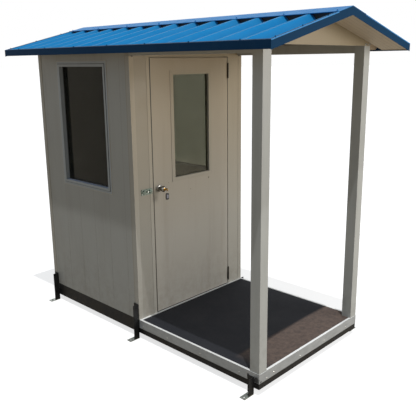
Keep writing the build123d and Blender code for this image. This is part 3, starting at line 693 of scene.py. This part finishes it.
def eased(shape, edges, offset, segments=2):
    """Rounds edges over."""
    bmesh.ops.bevel(
        shape, geom=edges, offset=offset, segments=segments, profile=0.5, affect="EDGES",
        material=-1,
    )


def block(shape, low, high, edge=0.0, turn=None, segments=2):
    """A box between two corners, turned about the origin if asked, with its edges eased."""
    made = bmesh.ops.create_cube(shape, size=1.0)["verts"]
    low, high = Vector(low), Vector(high)
    bmesh.ops.scale(shape, vec=high - low, verts=made)
    bmesh.ops.translate(shape, vec=(low + high) / 2, verts=made)
    if turn is not None:
        bmesh.ops.transform(shape, matrix=turn, verts=made)
    if edge:
        eased(shape, list({e for v in made for e in v.link_edges}), edge, segments)


def facing(place, outward):
    """Matrix that takes local Z to outward, at place."""
    return Matrix.Translation(place) @ Vector(outward).to_track_quat("Z", "Y").to_matrix().to_4x4()


def disc(shape, place, outward, radius, height, sides=12, taper=1.0):
    """A low round or six-sided head standing on place."""
    bmesh.ops.create_cone(
        shape, cap_ends=True, segments=sides, radius1=radius, radius2=radius * taper, depth=height,
        matrix=facing(Vector(place) + Vector(outward).normalized() * height / 2, outward),
    )


# Heads from their seat outwards, each step as radius, height, sides and taper
HEX_STEPS = ((0.0075, 0.0016, 12, 0.92), (0.0062, 0.0012, 12, 0.85), (0.0043, 0.0048, 6, 0.92))
DOME_STEPS = ((1.0, 0.3, 10, 0.92), (0.92, 0.25, 10, 0.5))
PIN_CAP_STEPS = ((0.0066, 0.0025, 16, 1.0), (0.0066, 0.002, 16, 0.55))


def stepped_head(shape, place, outward, steps, size=1.0):
    """Discs standing on each other from place outwards."""
    place, outward = Vector(place), Vector(outward).normalized()
    rise = 0.0
    for radius, height, sides, taper in steps:
        seat = place + outward * rise * size
        disc(shape, seat, outward, radius * size, height * size, sides, taper)
        rise += height


def hex_screw(shape, place, outward, size=1.0):
    """Self-drilling roof screw: washer, flange and six-sided head."""
    stepped_head(shape, place, outward, HEX_STEPS, size)


def dome_screw(shape, place, outward, radius):
    """Low domed screw or rivet head."""
    stepped_head(shape, place, outward, DOME_STEPS, radius)


def spun(outline, place, outward, steps=40):
    """A bmesh of (along, radius) points, first and last on the axis, spun about outward."""
    shape = bmesh.new()
    points = [shape.verts.new((radius, 0, along)) for along, radius in outline]
    edges = [shape.edges.new(pair) for pair in zip(points, points[1:])]
    bmesh.ops.spin(
        shape, geom=points + edges, cent=(0, 0, 0), axis=(0, 0, 1), angle=2 * pi, steps=steps,
        use_merge=True,
    )
    bmesh.ops.remove_doubles(shape, verts=shape.verts, dist=0.00002)
    bmesh.ops.transform(shape, matrix=facing(place, outward), verts=shape.verts)
    return shape


def extruded(shape, outline, matrix, length):
    """Pushes a closed outline of local (x, y) points along local Z."""
    face = shape.faces.new([shape.verts.new(matrix @ Vector((x, y, 0))) for x, y in outline])
    made = bmesh.ops.extrude_face_region(shape, geom=[face])["geom"]
    bmesh.ops.translate(
        shape, vec=matrix.to_3x3() @ Vector((0, 0, length)),
        verts=[part for part in made if isinstance(part, bmesh.types.BMVert)],
    )


def mitred_ring(shape, width, height, face, depth, matrix, edge=0.0008):
    """Four mitred bars round an opening, in the local XY plane and rising to depth."""
    for size, other, quarter in (
        (width, height, 0), (height, width, 1), (width, height, 2), (height, width, 3)
    ):
        made = bmesh.ops.create_cube(shape, size=1.0)["verts"]
        bmesh.ops.scale(shape, vec=(size, face, depth), verts=made)
        bmesh.ops.translate(shape, vec=(0, -(other - face) / 2, depth / 2), verts=made)
        faces = {f for v in made for f in v.link_faces}
        for side in (-1, 1):
            edges = {e for f in faces for e in f.edges}
            corners = {v for f in faces for v in f.verts}
            cut = bmesh.ops.bisect_plane(
                shape, geom=[*faces, *edges, *corners], plane_co=(side * size / 2, -other / 2, 0),
                plane_no=(side, 1, 0), clear_outer=True,
            )
            cut_edges = [g for g in cut["geom_cut"] if isinstance(g, bmesh.types.BMEdge)]
            filled = bmesh.ops.edgeloop_fill(shape, edges=cut_edges)["faces"]
            faces = {f for f in faces if f.is_valid} | {
                g for g in cut["geom"] if isinstance(g, bmesh.types.BMFace) and g.is_valid
            } | set(filled)
        verts = list({v for f in faces for v in f.verts})
        bmesh.ops.rotate(
            shape, cent=(0, 0, 0), matrix=Matrix.Rotation(quarter * pi / 2, 3, "Z"), verts=verts
        )
        bmesh.ops.transform(shape, matrix=matrix, verts=verts)
        eased(shape, list({e for v in verts for e in v.link_edges}), edge, 1)


def side_plane(side, x, y, z):
    """Matrix for a frame on a side wall: local X along the wall, local Z outwards."""
    return Matrix.Translation((x, y, z)) @ Matrix(
        ((0, 0, side), (-side, 0, 0), (0, 1, 0))
    ).to_4x4()


# Windows: sash, the grey gasket round it that also stands for the shadow line at the sash's edge,
# glazing seal, and the sealant round the frame
window_low, window_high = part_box("window_frame_left")
WINDOW_WIDTH = window_high.y - window_low.y
WINDOW_HEIGHT = window_high.z - window_low.z
WINDOW_Y = (window_high.y + window_low.y) / 2
WINDOW_Z = (window_high.z + window_low.z) / 2
WINDOW_FLANGE_X = -window_low.x
GLASS_OUTER_X = -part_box("window_glass_left")[0].x
SASH_INSET = 0.021
SASH_FACE = 0.019
GASKET_FACE = 0.0045
GASKET_LAP = 0.0005
SEAL_FACE = 0.006
SEALANT_FACE = 0.004

# Each ring's reach outside the frame's edge, face, depth, easing, the x it stands on, and finish
WINDOW_RINGS = {
    "sash": (-SASH_INSET, SASH_FACE, 0.0045, 0.0012, WINDOW_FLANGE_X, window_paint),
    "gasket": (
        GASKET_FACE - GASKET_LAP - SASH_INSET, GASKET_FACE, 0.0018, 0.0006, WINDOW_FLANGE_X,
        gasket_shadow_grey,
    ),
    "seal": (-SASH_INSET - SASH_FACE, SEAL_FACE, 0.007, 0.0015, GLASS_OUTER_X, seal_rubber),
    "sealant": (SEALANT_FACE, SEALANT_FACE, 0.0025, 0.001, -LEFT_WALL_X, sealant_bead),
}
for side_name, side in SIDES:
    for ring_name, (reach, face, depth, easing, base_x, finish) in WINDOW_RINGS.items():
        ring = bmesh.new()
        mitred_ring(
            ring, WINDOW_WIDTH + 2 * reach, WINDOW_HEIGHT + 2 * reach, face, depth,
            side_plane(side, side * base_x, WINDOW_Y, WINDOW_Z), easing,
        )
        add_piece(f"window_{ring_name}_{side_name}", ring, finish, "hut")


# Roof: laps over some ribs, and screws in the pans, along the cap and along the flashings
CAP_LIFT = 0.0043
CAP_SCREW_FROM_EDGE = 0.024
CAP_SCREW_FROM_END = 0.026
PAN_SCREW_ROWS_X = (0.24, 0.47, 0.70)
FLASHING_LIFT = 0.0021
FLASHING_SCREW_INSET = 0.011
FLASHING_SCREW_SIZE = 0.8
BARGE_SCREWS_X = (0.25, 0.5, 0.74)
LAP_RIBS = (4, 7, 10)
LAP_THICKNESS = 0.0012
LAP_UNDER_CAP = 0.01
LAP_FROM_EAVE = 0.024
ROOF_NORMAL = {side: Vector((side * sin(PITCH), 0, cos(PITCH))) for side in (-1, 1)}
DOWN_SLOPE = {side: Vector((side * cos(PITCH), 0, -sin(PITCH))) for side in (-1, 1)}
lap_low = -RIB_HEIGHT + 0.002
lap_length = (EAVE_HALF - LAP_FROM_EAVE - CAP_HALF + LAP_UNDER_CAP) / cos(PITCH)
lap_profile = (
    (-RIB_FOOT_HALF + 0.0015, lap_low), (-RIB_TOP_HALF, 0.0002), (RIB_TOP_HALF, 0.0002),
    (RIB_FOOT_HALF - 0.0015, lap_low), (RIB_FOOT_HALF + 0.0003, lap_low),
    (RIB_TOP_HALF + 0.0006, LAP_THICKNESS), (-RIB_TOP_HALF - 0.0006, LAP_THICKNESS),
    (-RIB_FOOT_HALF - 0.0003, lap_low),
)


def on_slope(side, x, y, lift):
    """A place over the rib plane, lift metres out along the slope's normal."""
    return Vector((side * x, y, rib_plane(x))) + ROOF_NORMAL[side] * lift


for side_name, side in SIDES:
    outward = ROOF_NORMAL[side]
    screws = bmesh.new()
    for index in range(RIB_SPACES):
        for x in PAN_SCREW_ROWS_X:
            hex_screw(screws, on_slope(side, x, rib_y(index + 0.5), -RIB_HEIGHT), outward)
    add_piece(f"roof_screws_{side_name}", screws, roof_blue, "hut")

    laps = bmesh.new()
    for index in LAP_RIBS:
        placed = Matrix((Vector((0, 1, 0)), outward, DOWN_SLOPE[side])).transposed().to_4x4()
        placed.translation = on_slope(side, CAP_HALF - LAP_UNDER_CAP, rib_y(index), 0)
        extruded(laps, lap_profile, placed, lap_length)
    add_piece(f"sheet_laps_{side_name}", laps, roof_blue, "hut")

cap_screws = bmesh.new()
flashing_screws = bmesh.new()
for side_name, side in SIDES:
    outward = ROOF_NORMAL[side]
    for index in range(0, RIB_SPACES + 1, 2):
        y = max(rib_y(index), ROOF_LOW.y + CAP_SCREW_FROM_END)
        y = min(y, ROOF_HIGH.y - CAP_SCREW_FROM_END)
        hex_screw(
            cap_screws, on_slope(side, CAP_HALF - CAP_SCREW_FROM_EDGE, y, CAP_LIFT), outward
        )
    flashing_places = [
        (EAVE_HALF - FLASHING_SCREW_INSET, rib_y(index)) for index in range(1, RIB_SPACES, 2)
    ] + [
        (x, end_y)
        for end_y in (ROOF_LOW.y + FLASHING_SCREW_INSET, ROOF_HIGH.y - FLASHING_SCREW_INSET)
        for x in BARGE_SCREWS_X
    ]
    for x, y in flashing_places:
        hex_screw(
            flashing_screws, on_slope(side, x, y, FLASHING_LIFT), outward, FLASHING_SCREW_SIZE
        )
add_piece("cap_screws", cap_screws, cap_blue, "hut")
# The flashing screws take the barge's painted-shade blue
add_piece("flashing_screws", flashing_screws, barge_shade_blue, "hut")


# Strips along the slope: folded hems in the lighter painted-highlight blue, black foam closures
# under the cap that also stand for the shade in the open rib ends, and the overhangs' linings
CAP_REACH = CAP_HALF / cos(PITCH)
EAVE_REACH = EAVE_HALF / cos(PITCH)
CLOSURE_FROM_CAP_EDGE = 0.018
CLOSURE_WIDTH = 0.012
CLOSURE_FROM_END = 0.012
CLOSURE_OVER_PAN = 0.0012
CLOSURE_UNDER_RIBS = 0.0008
LINING_FROM_RIDGE = 0.03
LINING_FROM_EAVE = 0.004
LINING_FROM_END = 0.004
LINING_LAP = 0.001
LINING_UNDER_PAN = 0.0012
LINING_THICKNESS = 0.003
CAP_HEM_WIDTH = 0.008
CAP_HEM_PROUD = 0.0005
CAP_HEM_HEIGHTS = (0.0012, 0.0062)
BARGE_HEM_PROUD = 0.0012
BARGE_HEM_WIDTH = 0.0045
BARGE_HEM_FROM_EAVE = 0.001
BARGE_HEM_HEIGHTS = (-0.0035, 0.0028)
HEM_EASING = 0.0012


def slope_strip(shape, side, near, far, front_y, back_y, bottom, top, edge, segments=2):
    """A strip along the roof, turned onto its slope.

    near and far are measured down the slope from the ridge, bottom and top from the rib tops.
    """
    ridge = Matrix.Translation((0, 0, RIB_PLANE_RIDGE_Z))
    turn = ridge @ Matrix.Rotation(side * PITCH, 4, "Y")
    low_x, high_x = sorted((side * near, side * far))
    block(shape, (low_x, front_y, bottom), (high_x, back_y, top), edge, turn, segments)


cap_hems = bmesh.new()
barge_hems = bmesh.new()
cap_shade_closures = bmesh.new()
soffit_linings = bmesh.new()
for side_name, side in SIDES:
    closure_far = CAP_REACH - CLOSURE_FROM_CAP_EDGE
    # Black foam closures, also standing for the shade in the open rib ends under the cap: painted
    # shade
    slope_strip(
        cap_shade_closures, side, closure_far - CLOSURE_WIDTH, closure_far,
        ROOF_LOW.y + CLOSURE_FROM_END, ROOF_HIGH.y - CLOSURE_FROM_END,
        -RIB_HEIGHT + CLOSURE_OVER_PAN, -CLOSURE_UNDER_RIBS, 0.001, 1,
    )
    lining_far = (EAVE_HALF - LINING_FROM_EAVE) / cos(PITCH)
    lining_top = -RIB_HEIGHT - LINING_UNDER_PAN
    for front_y, back_y in (
        (ROOF_LOW.y + LINING_FROM_END, PORCH_GABLE_Y + LINING_LAP),
        (BACK_WALL_Y - LINING_LAP, ROOF_HIGH.y - LINING_FROM_END),
    ):
        slope_strip(
            soffit_linings, side, LINING_FROM_RIDGE, lining_far, front_y, back_y,
            lining_top - LINING_THICKNESS, lining_top, 0.0008, 1,
        )
    slope_strip(
        cap_hems, side, CAP_REACH - CAP_HEM_WIDTH, CAP_REACH + CAP_HEM_PROUD,
        ROOF_LOW.y, ROOF_HIGH.y, *CAP_HEM_HEIGHTS, HEM_EASING,
    )
    for front_y, back_y in (
        (ROOF_LOW.y - BARGE_HEM_PROUD, ROOF_LOW.y + BARGE_HEM_WIDTH),
        (ROOF_HIGH.y - BARGE_HEM_WIDTH, ROOF_HIGH.y + BARGE_HEM_PROUD),
    ):
        slope_strip(
            barge_hems, side, CAP_REACH, EAVE_REACH - BARGE_HEM_FROM_EAVE, front_y, back_y,
            *BARGE_HEM_HEIGHTS, HEM_EASING,
        )
# Both hems take the lighter blue as a painted highlight
add_piece("cap_hems", cap_hems, hem_highlight_blue, "hut")
add_piece("barge_hems", barge_hems, hem_highlight_blue, "hut")
add_piece("cap_shade_closures", cap_shade_closures, seal_rubber, "hut")
add_piece("soffit_linings", soffit_linings, soffit_paint, "hut")


# Gable bolts at the post tops, rivets down the corner trims and screws in the porch edges
GABLE_BOLTS_X = (0.539, 0.588)
GABLE_BOLTS_Z = 2.203
GABLE_BOLT_SIZE = 1.15
RIVETS_A_ROW = 8
FIRST_RIVET_Z = 0.26
RIVET_STEP = 0.255
RIVET_RADIUS = 0.0035
RIVET_FROM_WALL_Y = 0.02
RIVET_FROM_FACE_X = 0.022
TRIM_THICKNESS = 0.002
EDGE_SCREWS_FRONT = (
    (-0.525, 0.104), (-0.45, 0.116), (-0.15, 0.11), (0.15, 0.112), (0.45, 0.11), (0.525, 0.106),
)
EDGE_SCREWS_SIDE_Y = (-1.02, -0.66, -0.32, -0.05)
EDGE_SCREWS_SIDE_Z = 0.112
EDGE_SCREW_RADIUS = 0.0055

gable_bolts = bmesh.new()
for side_name, side in SIDES:
    for x in GABLE_BOLTS_X:
        hex_screw(
            gable_bolts, (side * x, PORCH_FRONT_Y, GABLE_BOLTS_Z), (0, -1, 0), GABLE_BOLT_SIZE
        )
add_piece("gable_bolts", gable_bolts, screw_zinc, "hut")

rivets = bmesh.new()
for side_name, side in SIDES:
    for step in range(RIVETS_A_ROW):
        z = FIRST_RIVET_Z + RIVET_STEP * step
        for corner_y, inward in ((FRONT_WALL_Y, 1), (BACK_WALL_Y, -1)):
            side_y = corner_y + inward * RIVET_FROM_WALL_Y
            dome_screw(rivets, (side * CORNER_FACE_X, side_y, z), (side, 0, 0), RIVET_RADIUS)
            face_x = side * (CORNER_FACE_X - RIVET_FROM_FACE_X)
            face_y = corner_y - inward * TRIM_THICKNESS
            dome_screw(rivets, (face_x, face_y, z), (0, -inward, 0), RIVET_RADIUS)
add_piece("corner_rivets", rivets, front_paint, "hut")

edge_screws = bmesh.new()
for x, z in EDGE_SCREWS_FRONT:
    place = (x, PORCH_FRONT_Y - TRIM_THICKNESS, z)
    dome_screw(edge_screws, place, (0, -1, 0), EDGE_SCREW_RADIUS)
for side_name, side in SIDES:
    for y in EDGE_SCREWS_SIDE_Y:
        place = (side * PORCH_EDGE_X, y, EDGE_SCREWS_SIDE_Z)
        dome_screw(edge_screws, place, (side, 0, 0), EDGE_SCREW_RADIUS)
add_piece("edge_screws", edge_screws, screw_zinc, "hut")


# Legs on the right: the same angle irons, with the middle one cut down to the base rail
LEG_FACE_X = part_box("legs_right")[0].x
LEG_FOOT_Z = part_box("legs_right")[0].z
LEGS_Y = (-1.146, 0.003, 1.133)
LEG_TOPS = (0.127, 0.285, 0.255)
RIGHT_LEG_TOPS = (0.127, 0.15, 0.255)
LEG_FLANGE = 0.05
LEG_WALL = 0.004
angle_section = (
    (0, 0), (LEG_FLANGE, 0), (LEG_FLANGE, LEG_WALL), (LEG_WALL, LEG_WALL), (LEG_WALL, LEG_FLANGE),
    (0, LEG_FLANGE),
)
right_legs = bmesh.new()
for leg_y, leg_top in zip(LEGS_Y, RIGHT_LEG_TOPS):
    extruded(
        right_legs, angle_section, Matrix.Translation((LEG_FACE_X, leg_y, LEG_FOOT_Z)),
        leg_top - LEG_FOOT_Z,
    )
eased(right_legs, right_legs.edges[:], 0.0006, 1)
right_legs = add_piece("right_leg_irons", right_legs, base_black, "hut")
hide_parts("legs_right")


# Welds: a run of small overlapping beads down both edges of each leg
WELD_LOW_Z = 0.094
WELD_HIGH_Z = 0.152
WELD_STEP = 0.0052
WELD_FROM_EDGE = 0.001
WELD_SCATTER = 0.0015
WELD_PROUD = (0.0002, 0.0012)
WELD_RADII = (0.0034, 0.005)
random.seed(11)
welds = bmesh.new()
for leg_y, leg_top in zip(LEGS_Y, LEG_TOPS):
    for side_name, side in SIDES:
        for edge_y in (leg_y - WELD_FROM_EDGE, leg_y + LEG_FLANGE + WELD_FROM_EDGE):
            z = WELD_LOW_Z
            while z < min(leg_top, WELD_HIGH_Z):
                place = Vector((
                    side * (LEG_FACE_X + random.uniform(*WELD_PROUD)),
                    edge_y + random.uniform(-WELD_SCATTER, WELD_SCATTER), z,
                ))
                bmesh.ops.create_icosphere(
                    welds, subdivisions=1, radius=random.uniform(*WELD_RADII),
                    matrix=Matrix.Translation(place),
                )
                z += WELD_STEP
add_piece("leg_welds", welds, base_black, "hut", 60)


# Door: rubber seal on the stop and on the leaf's closing edge
STOP_SEAL_INSET = 0.001
STOP_SEAL_FACE = 0.008
STOP_SEAL_DEPTH = 0.0045
STOP_SEAL_BEHIND = 0.0055
EDGE_SEAL_HALF = 0.0036
EDGE_SEAL_PROUD = 0.0012
EDGE_SEAL_DEPTH = 0.012
EDGE_SEAL_FROM_END = 0.002
leaf_middle = (LEAF_LOW + LEAF_HIGH) / 2
leaf_size = LEAF_HIGH - LEAF_LOW

stop_seal = bmesh.new()
mitred_ring(
    stop_seal, leaf_size.x - 2 * STOP_SEAL_INSET, leaf_size.z - 2 * STOP_SEAL_INSET,
    STOP_SEAL_FACE, STOP_SEAL_DEPTH,
    Matrix.Translation((leaf_middle.x, LEAF_HIGH.y + STOP_SEAL_BEHIND, leaf_middle.z))
    @ Matrix.Rotation(pi / 2, 4, "X"), 0.0014,
)
add_piece("door_stop_seal", stop_seal, seal_rubber, "hut")

edge_seal = bmesh.new()
block(
    edge_seal,
    LEAF_LOW + Vector((-EDGE_SEAL_HALF, -EDGE_SEAL_PROUD, EDGE_SEAL_FROM_END)),
    (LEAF_LOW.x + EDGE_SEAL_HALF, LEAF_LOW.y + EDGE_SEAL_DEPTH, LEAF_HIGH.z - EDGE_SEAL_FROM_END),
    0.001, segments=1,
)
add_piece("leaf_edge_seal", edge_seal, edge_rubber, "door")


# Small bolted brackets where the porch beams meet the front wall
BRACKET_X = (0.5655, 0.5815)
BRACKET_Z = (2.137, 2.159)
BRACKET_DEPTH = 0.0045
BRACKET_BOLT_Z = 2.147
BRACKET_BOLT_SIZE = 0.9
bracket_face_y = FRONT_WALL_Y - BRACKET_DEPTH
beam_brackets = bmesh.new()
for side_name, side in SIDES:
    low_x, high_x = sorted(side * x for x in BRACKET_X)
    block(
        beam_brackets, (low_x, bracket_face_y, BRACKET_Z[0]), (high_x, FRONT_WALL_Y, BRACKET_Z[1]),
        0.0016,
    )
    bolt_place = ((low_x + high_x) / 2, bracket_face_y, BRACKET_BOLT_Z)
    hex_screw(beam_brackets, bolt_place, (0, -1, 0), BRACKET_BOLT_SIZE)
add_piece("beam_brackets", beam_brackets, hinge_steel, "hut")


# Caps on both ends of the two hinge pins
HINGE_HALF_HEIGHT = 0.057
hinge_low, hinge_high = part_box("frame_hinge_leaves")
pin_caps = bmesh.new()
for centre_z in (hinge_low.z + HINGE_HALF_HEIGHT, hinge_high.z - HINGE_HALF_HEIGHT):
    for end in (-1, 1):
        pin_end = (HINGE_X, HINGE_Y, centre_z + end * HINGE_HALF_HEIGHT)
        stepped_head(pin_caps, pin_end, (0, 0, end), PIN_CAP_STEPS)
add_piece("hinge_pin_caps", pin_caps, hinge_steel, "hut")


# Lock: inside knob, brass cylinder, and the fob on its ring
knob_low, knob_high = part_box("door_knob")
KNOB_X = (knob_low.x + knob_high.x) / 2
KNOB_Z = (knob_low.z + knob_high.z) / 2
KNOB_PROFILE = (
    (0.0, 0.0), (0.0, 0.027), (0.0045, 0.027), (0.009, 0.0215), (0.009, 0.012), (0.024, 0.012),
    (0.028, 0.0172), (0.034, 0.0215), (0.042, 0.023), (0.05, 0.0222), (0.056, 0.0195),
    (0.0595, 0.0152), (0.0605, 0.0135), (0.0605, 0.0),
)
inner_knob = spun(KNOB_PROFILE, (KNOB_X, LEAF_HIGH.y, KNOB_Z), (0, 1, 0))
add_piece("inner_knob", inner_knob, knob_chrome, "door", 40)
outer_knob = spun(KNOB_PROFILE, (KNOB_X, LEAF_LOW.y, KNOB_Z), (0, -1, 0))
outer_knob = add_piece("outer_knob", outer_knob, knob_chrome, "door", 40)
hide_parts("door_knob")

cylinder = spun(
    ((0.0, 0.0), (0.0, 0.0112), (0.0012, 0.0112), (0.0018, 0.0104), (0.0018, 0.0)),
    (KNOB_X, knob_low.y - 0.0003, KNOB_Z), (0, -1, 0),
)
add_piece("lock_cylinder", cylinder, key_brass, "door", 40)

fob_low, fob_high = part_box("key_fob")
RING_RADIUS = 0.013
RING_WIRE = 0.00125
ring_y = (fob_low.y + fob_high.y) / 2
key_ring = bmesh.new()
section = bmesh.ops.create_circle(
    key_ring, cap_ends=False, segments=10, radius=RING_WIRE,
    matrix=Matrix.Translation((RING_RADIUS, 0, 0)) @ Matrix.Rotation(pi / 2, 4, "X"),
)["verts"]
bmesh.ops.spin(
    key_ring, geom=section + key_ring.edges[:], cent=(0, 0, 0), axis=(0, 0, 1), angle=2 * pi,
    steps=36, use_merge=True,
)
bmesh.ops.transform(
    key_ring, verts=key_ring.verts,
    matrix=facing((KNOB_X, ring_y, fob_high.z - RING_WIRE - RING_RADIUS), (0, -1, 0)),
)
add_piece("key_ring", key_ring, screw_zinc, "door", 60)

FOB_HALF_WIDTH = 0.014
FOB_OVER_RING = 0.0025
INLAY_HALF_WIDTH = 0.009
INLAY_FROM_FOOT = 0.011
INLAY_FROM_TOP = 0.012
fob_top = fob_high.z - 2 * RING_RADIUS - RING_WIRE + FOB_OVER_RING


def depth_of(edge):
    """How far an edge runs from front to back."""
    return abs(edge.verts[0].co.y - edge.verts[1].co.y)


fob = bmesh.new()
block(
    fob, (KNOB_X - FOB_HALF_WIDTH, fob_low.y, fob_low.z),
    (KNOB_X + FOB_HALF_WIDTH, fob_high.y, fob_top),
)
eased(fob, [edge for edge in fob.edges if depth_of(edge) > 0.005], 0.009, 6)
eased(fob, [edge for edge in fob.edges if depth_of(edge) < 0.0001], 0.0018, 3)
fob = add_piece("key_tag", fob, fob_black, "door", 40)
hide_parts("key_fob")

inlay = bmesh.new()
block(
    inlay, (KNOB_X - INLAY_HALF_WIDTH, fob_low.y - 0.0006, fob_low.z + INLAY_FROM_FOOT),
    (KNOB_X + INLAY_HALF_WIDTH, fob_low.y + 0.001, fob_top - INLAY_FROM_TOP),
)
eased(inlay, [edge for edge in inlay.edges if depth_of(edge) > 0.001], 0.006, 4)
add_piece("key_tag_inlay", inlay, fob_inlay_grey, "door", 40)


# Latch: a sliding bar in two staples over the plate, with its thumb pin and screws
BAR_FROM_LEFT = 0.006
BAR_FROM_RIGHT = 0.001
BAR_HALF_HEIGHT = 0.006
BAR_DEPTHS = (0.0005, 0.0075)
STAPLE_FROM_LEFT = 0.017
STAPLE_FROM_RIGHT = 0.03
STAPLE_WIDTH = 0.013
STAPLE_HALF_HEIGHT = 0.0135
STAPLE_DEPTH = 0.0105
THUMB_PIN_X = -0.487
LATCH_SCREW_INSET_X = 0.011
LATCH_SCREW_INSET_Z = 0.007
LATCH_MIDDLE_SCREW = 0.043
LATCH_SCREW_RADIUS = 0.0042
THUMB_PIN_PROFILE = (
    (0.0, 0.0), (0.0, 0.0035), (0.008, 0.0035), (0.0095, 0.0055), (0.014, 0.0055),
    (0.0152, 0.004), (0.0152, 0.0),
)
latch_low, latch_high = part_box("latch_plate")
latch_y = latch_low.y
latch_z = (latch_low.z + latch_high.z) / 2
latch_bar = bmesh.new()
block(
    latch_bar,
    (latch_low.x + BAR_FROM_LEFT, latch_y - BAR_DEPTHS[1], latch_z - BAR_HALF_HEIGHT),
    (latch_high.x - BAR_FROM_RIGHT, latch_y - BAR_DEPTHS[0], latch_z + BAR_HALF_HEIGHT), 0.002,
)
add_piece("latch_bar", latch_bar, latch_zinc, "hut")

staples = bmesh.new()
for x in (latch_low.x + STAPLE_FROM_LEFT, latch_high.x - STAPLE_FROM_RIGHT):
    block(
        staples, (x, latch_y - STAPLE_DEPTH, latch_z - STAPLE_HALF_HEIGHT),
        (x + STAPLE_WIDTH, latch_y, latch_z + STAPLE_HALF_HEIGHT), 0.003,
    )
add_piece("latch_staples", staples, latch_zinc, "hut")

thumb_pin = spun(
    THUMB_PIN_PROFILE, (THUMB_PIN_X, latch_y - 0.007, latch_z + 0.001), (0, -1, 0), 20
)
add_piece("latch_thumb_pin", thumb_pin, screw_zinc, "hut", 40)

latch_screws = bmesh.new()
for x in (
    latch_low.x + LATCH_SCREW_INSET_X, latch_low.x + LATCH_MIDDLE_SCREW,
    latch_high.x - LATCH_SCREW_INSET_X,
):
    for z in (latch_low.z + LATCH_SCREW_INSET_Z, latch_high.z - LATCH_SCREW_INSET_Z):
        dome_screw(latch_screws, (x, latch_y, z), (0, -1, 0), LATCH_SCREW_RADIUS)
add_piece("latch_screws", latch_screws, screw_zinc, "hut")
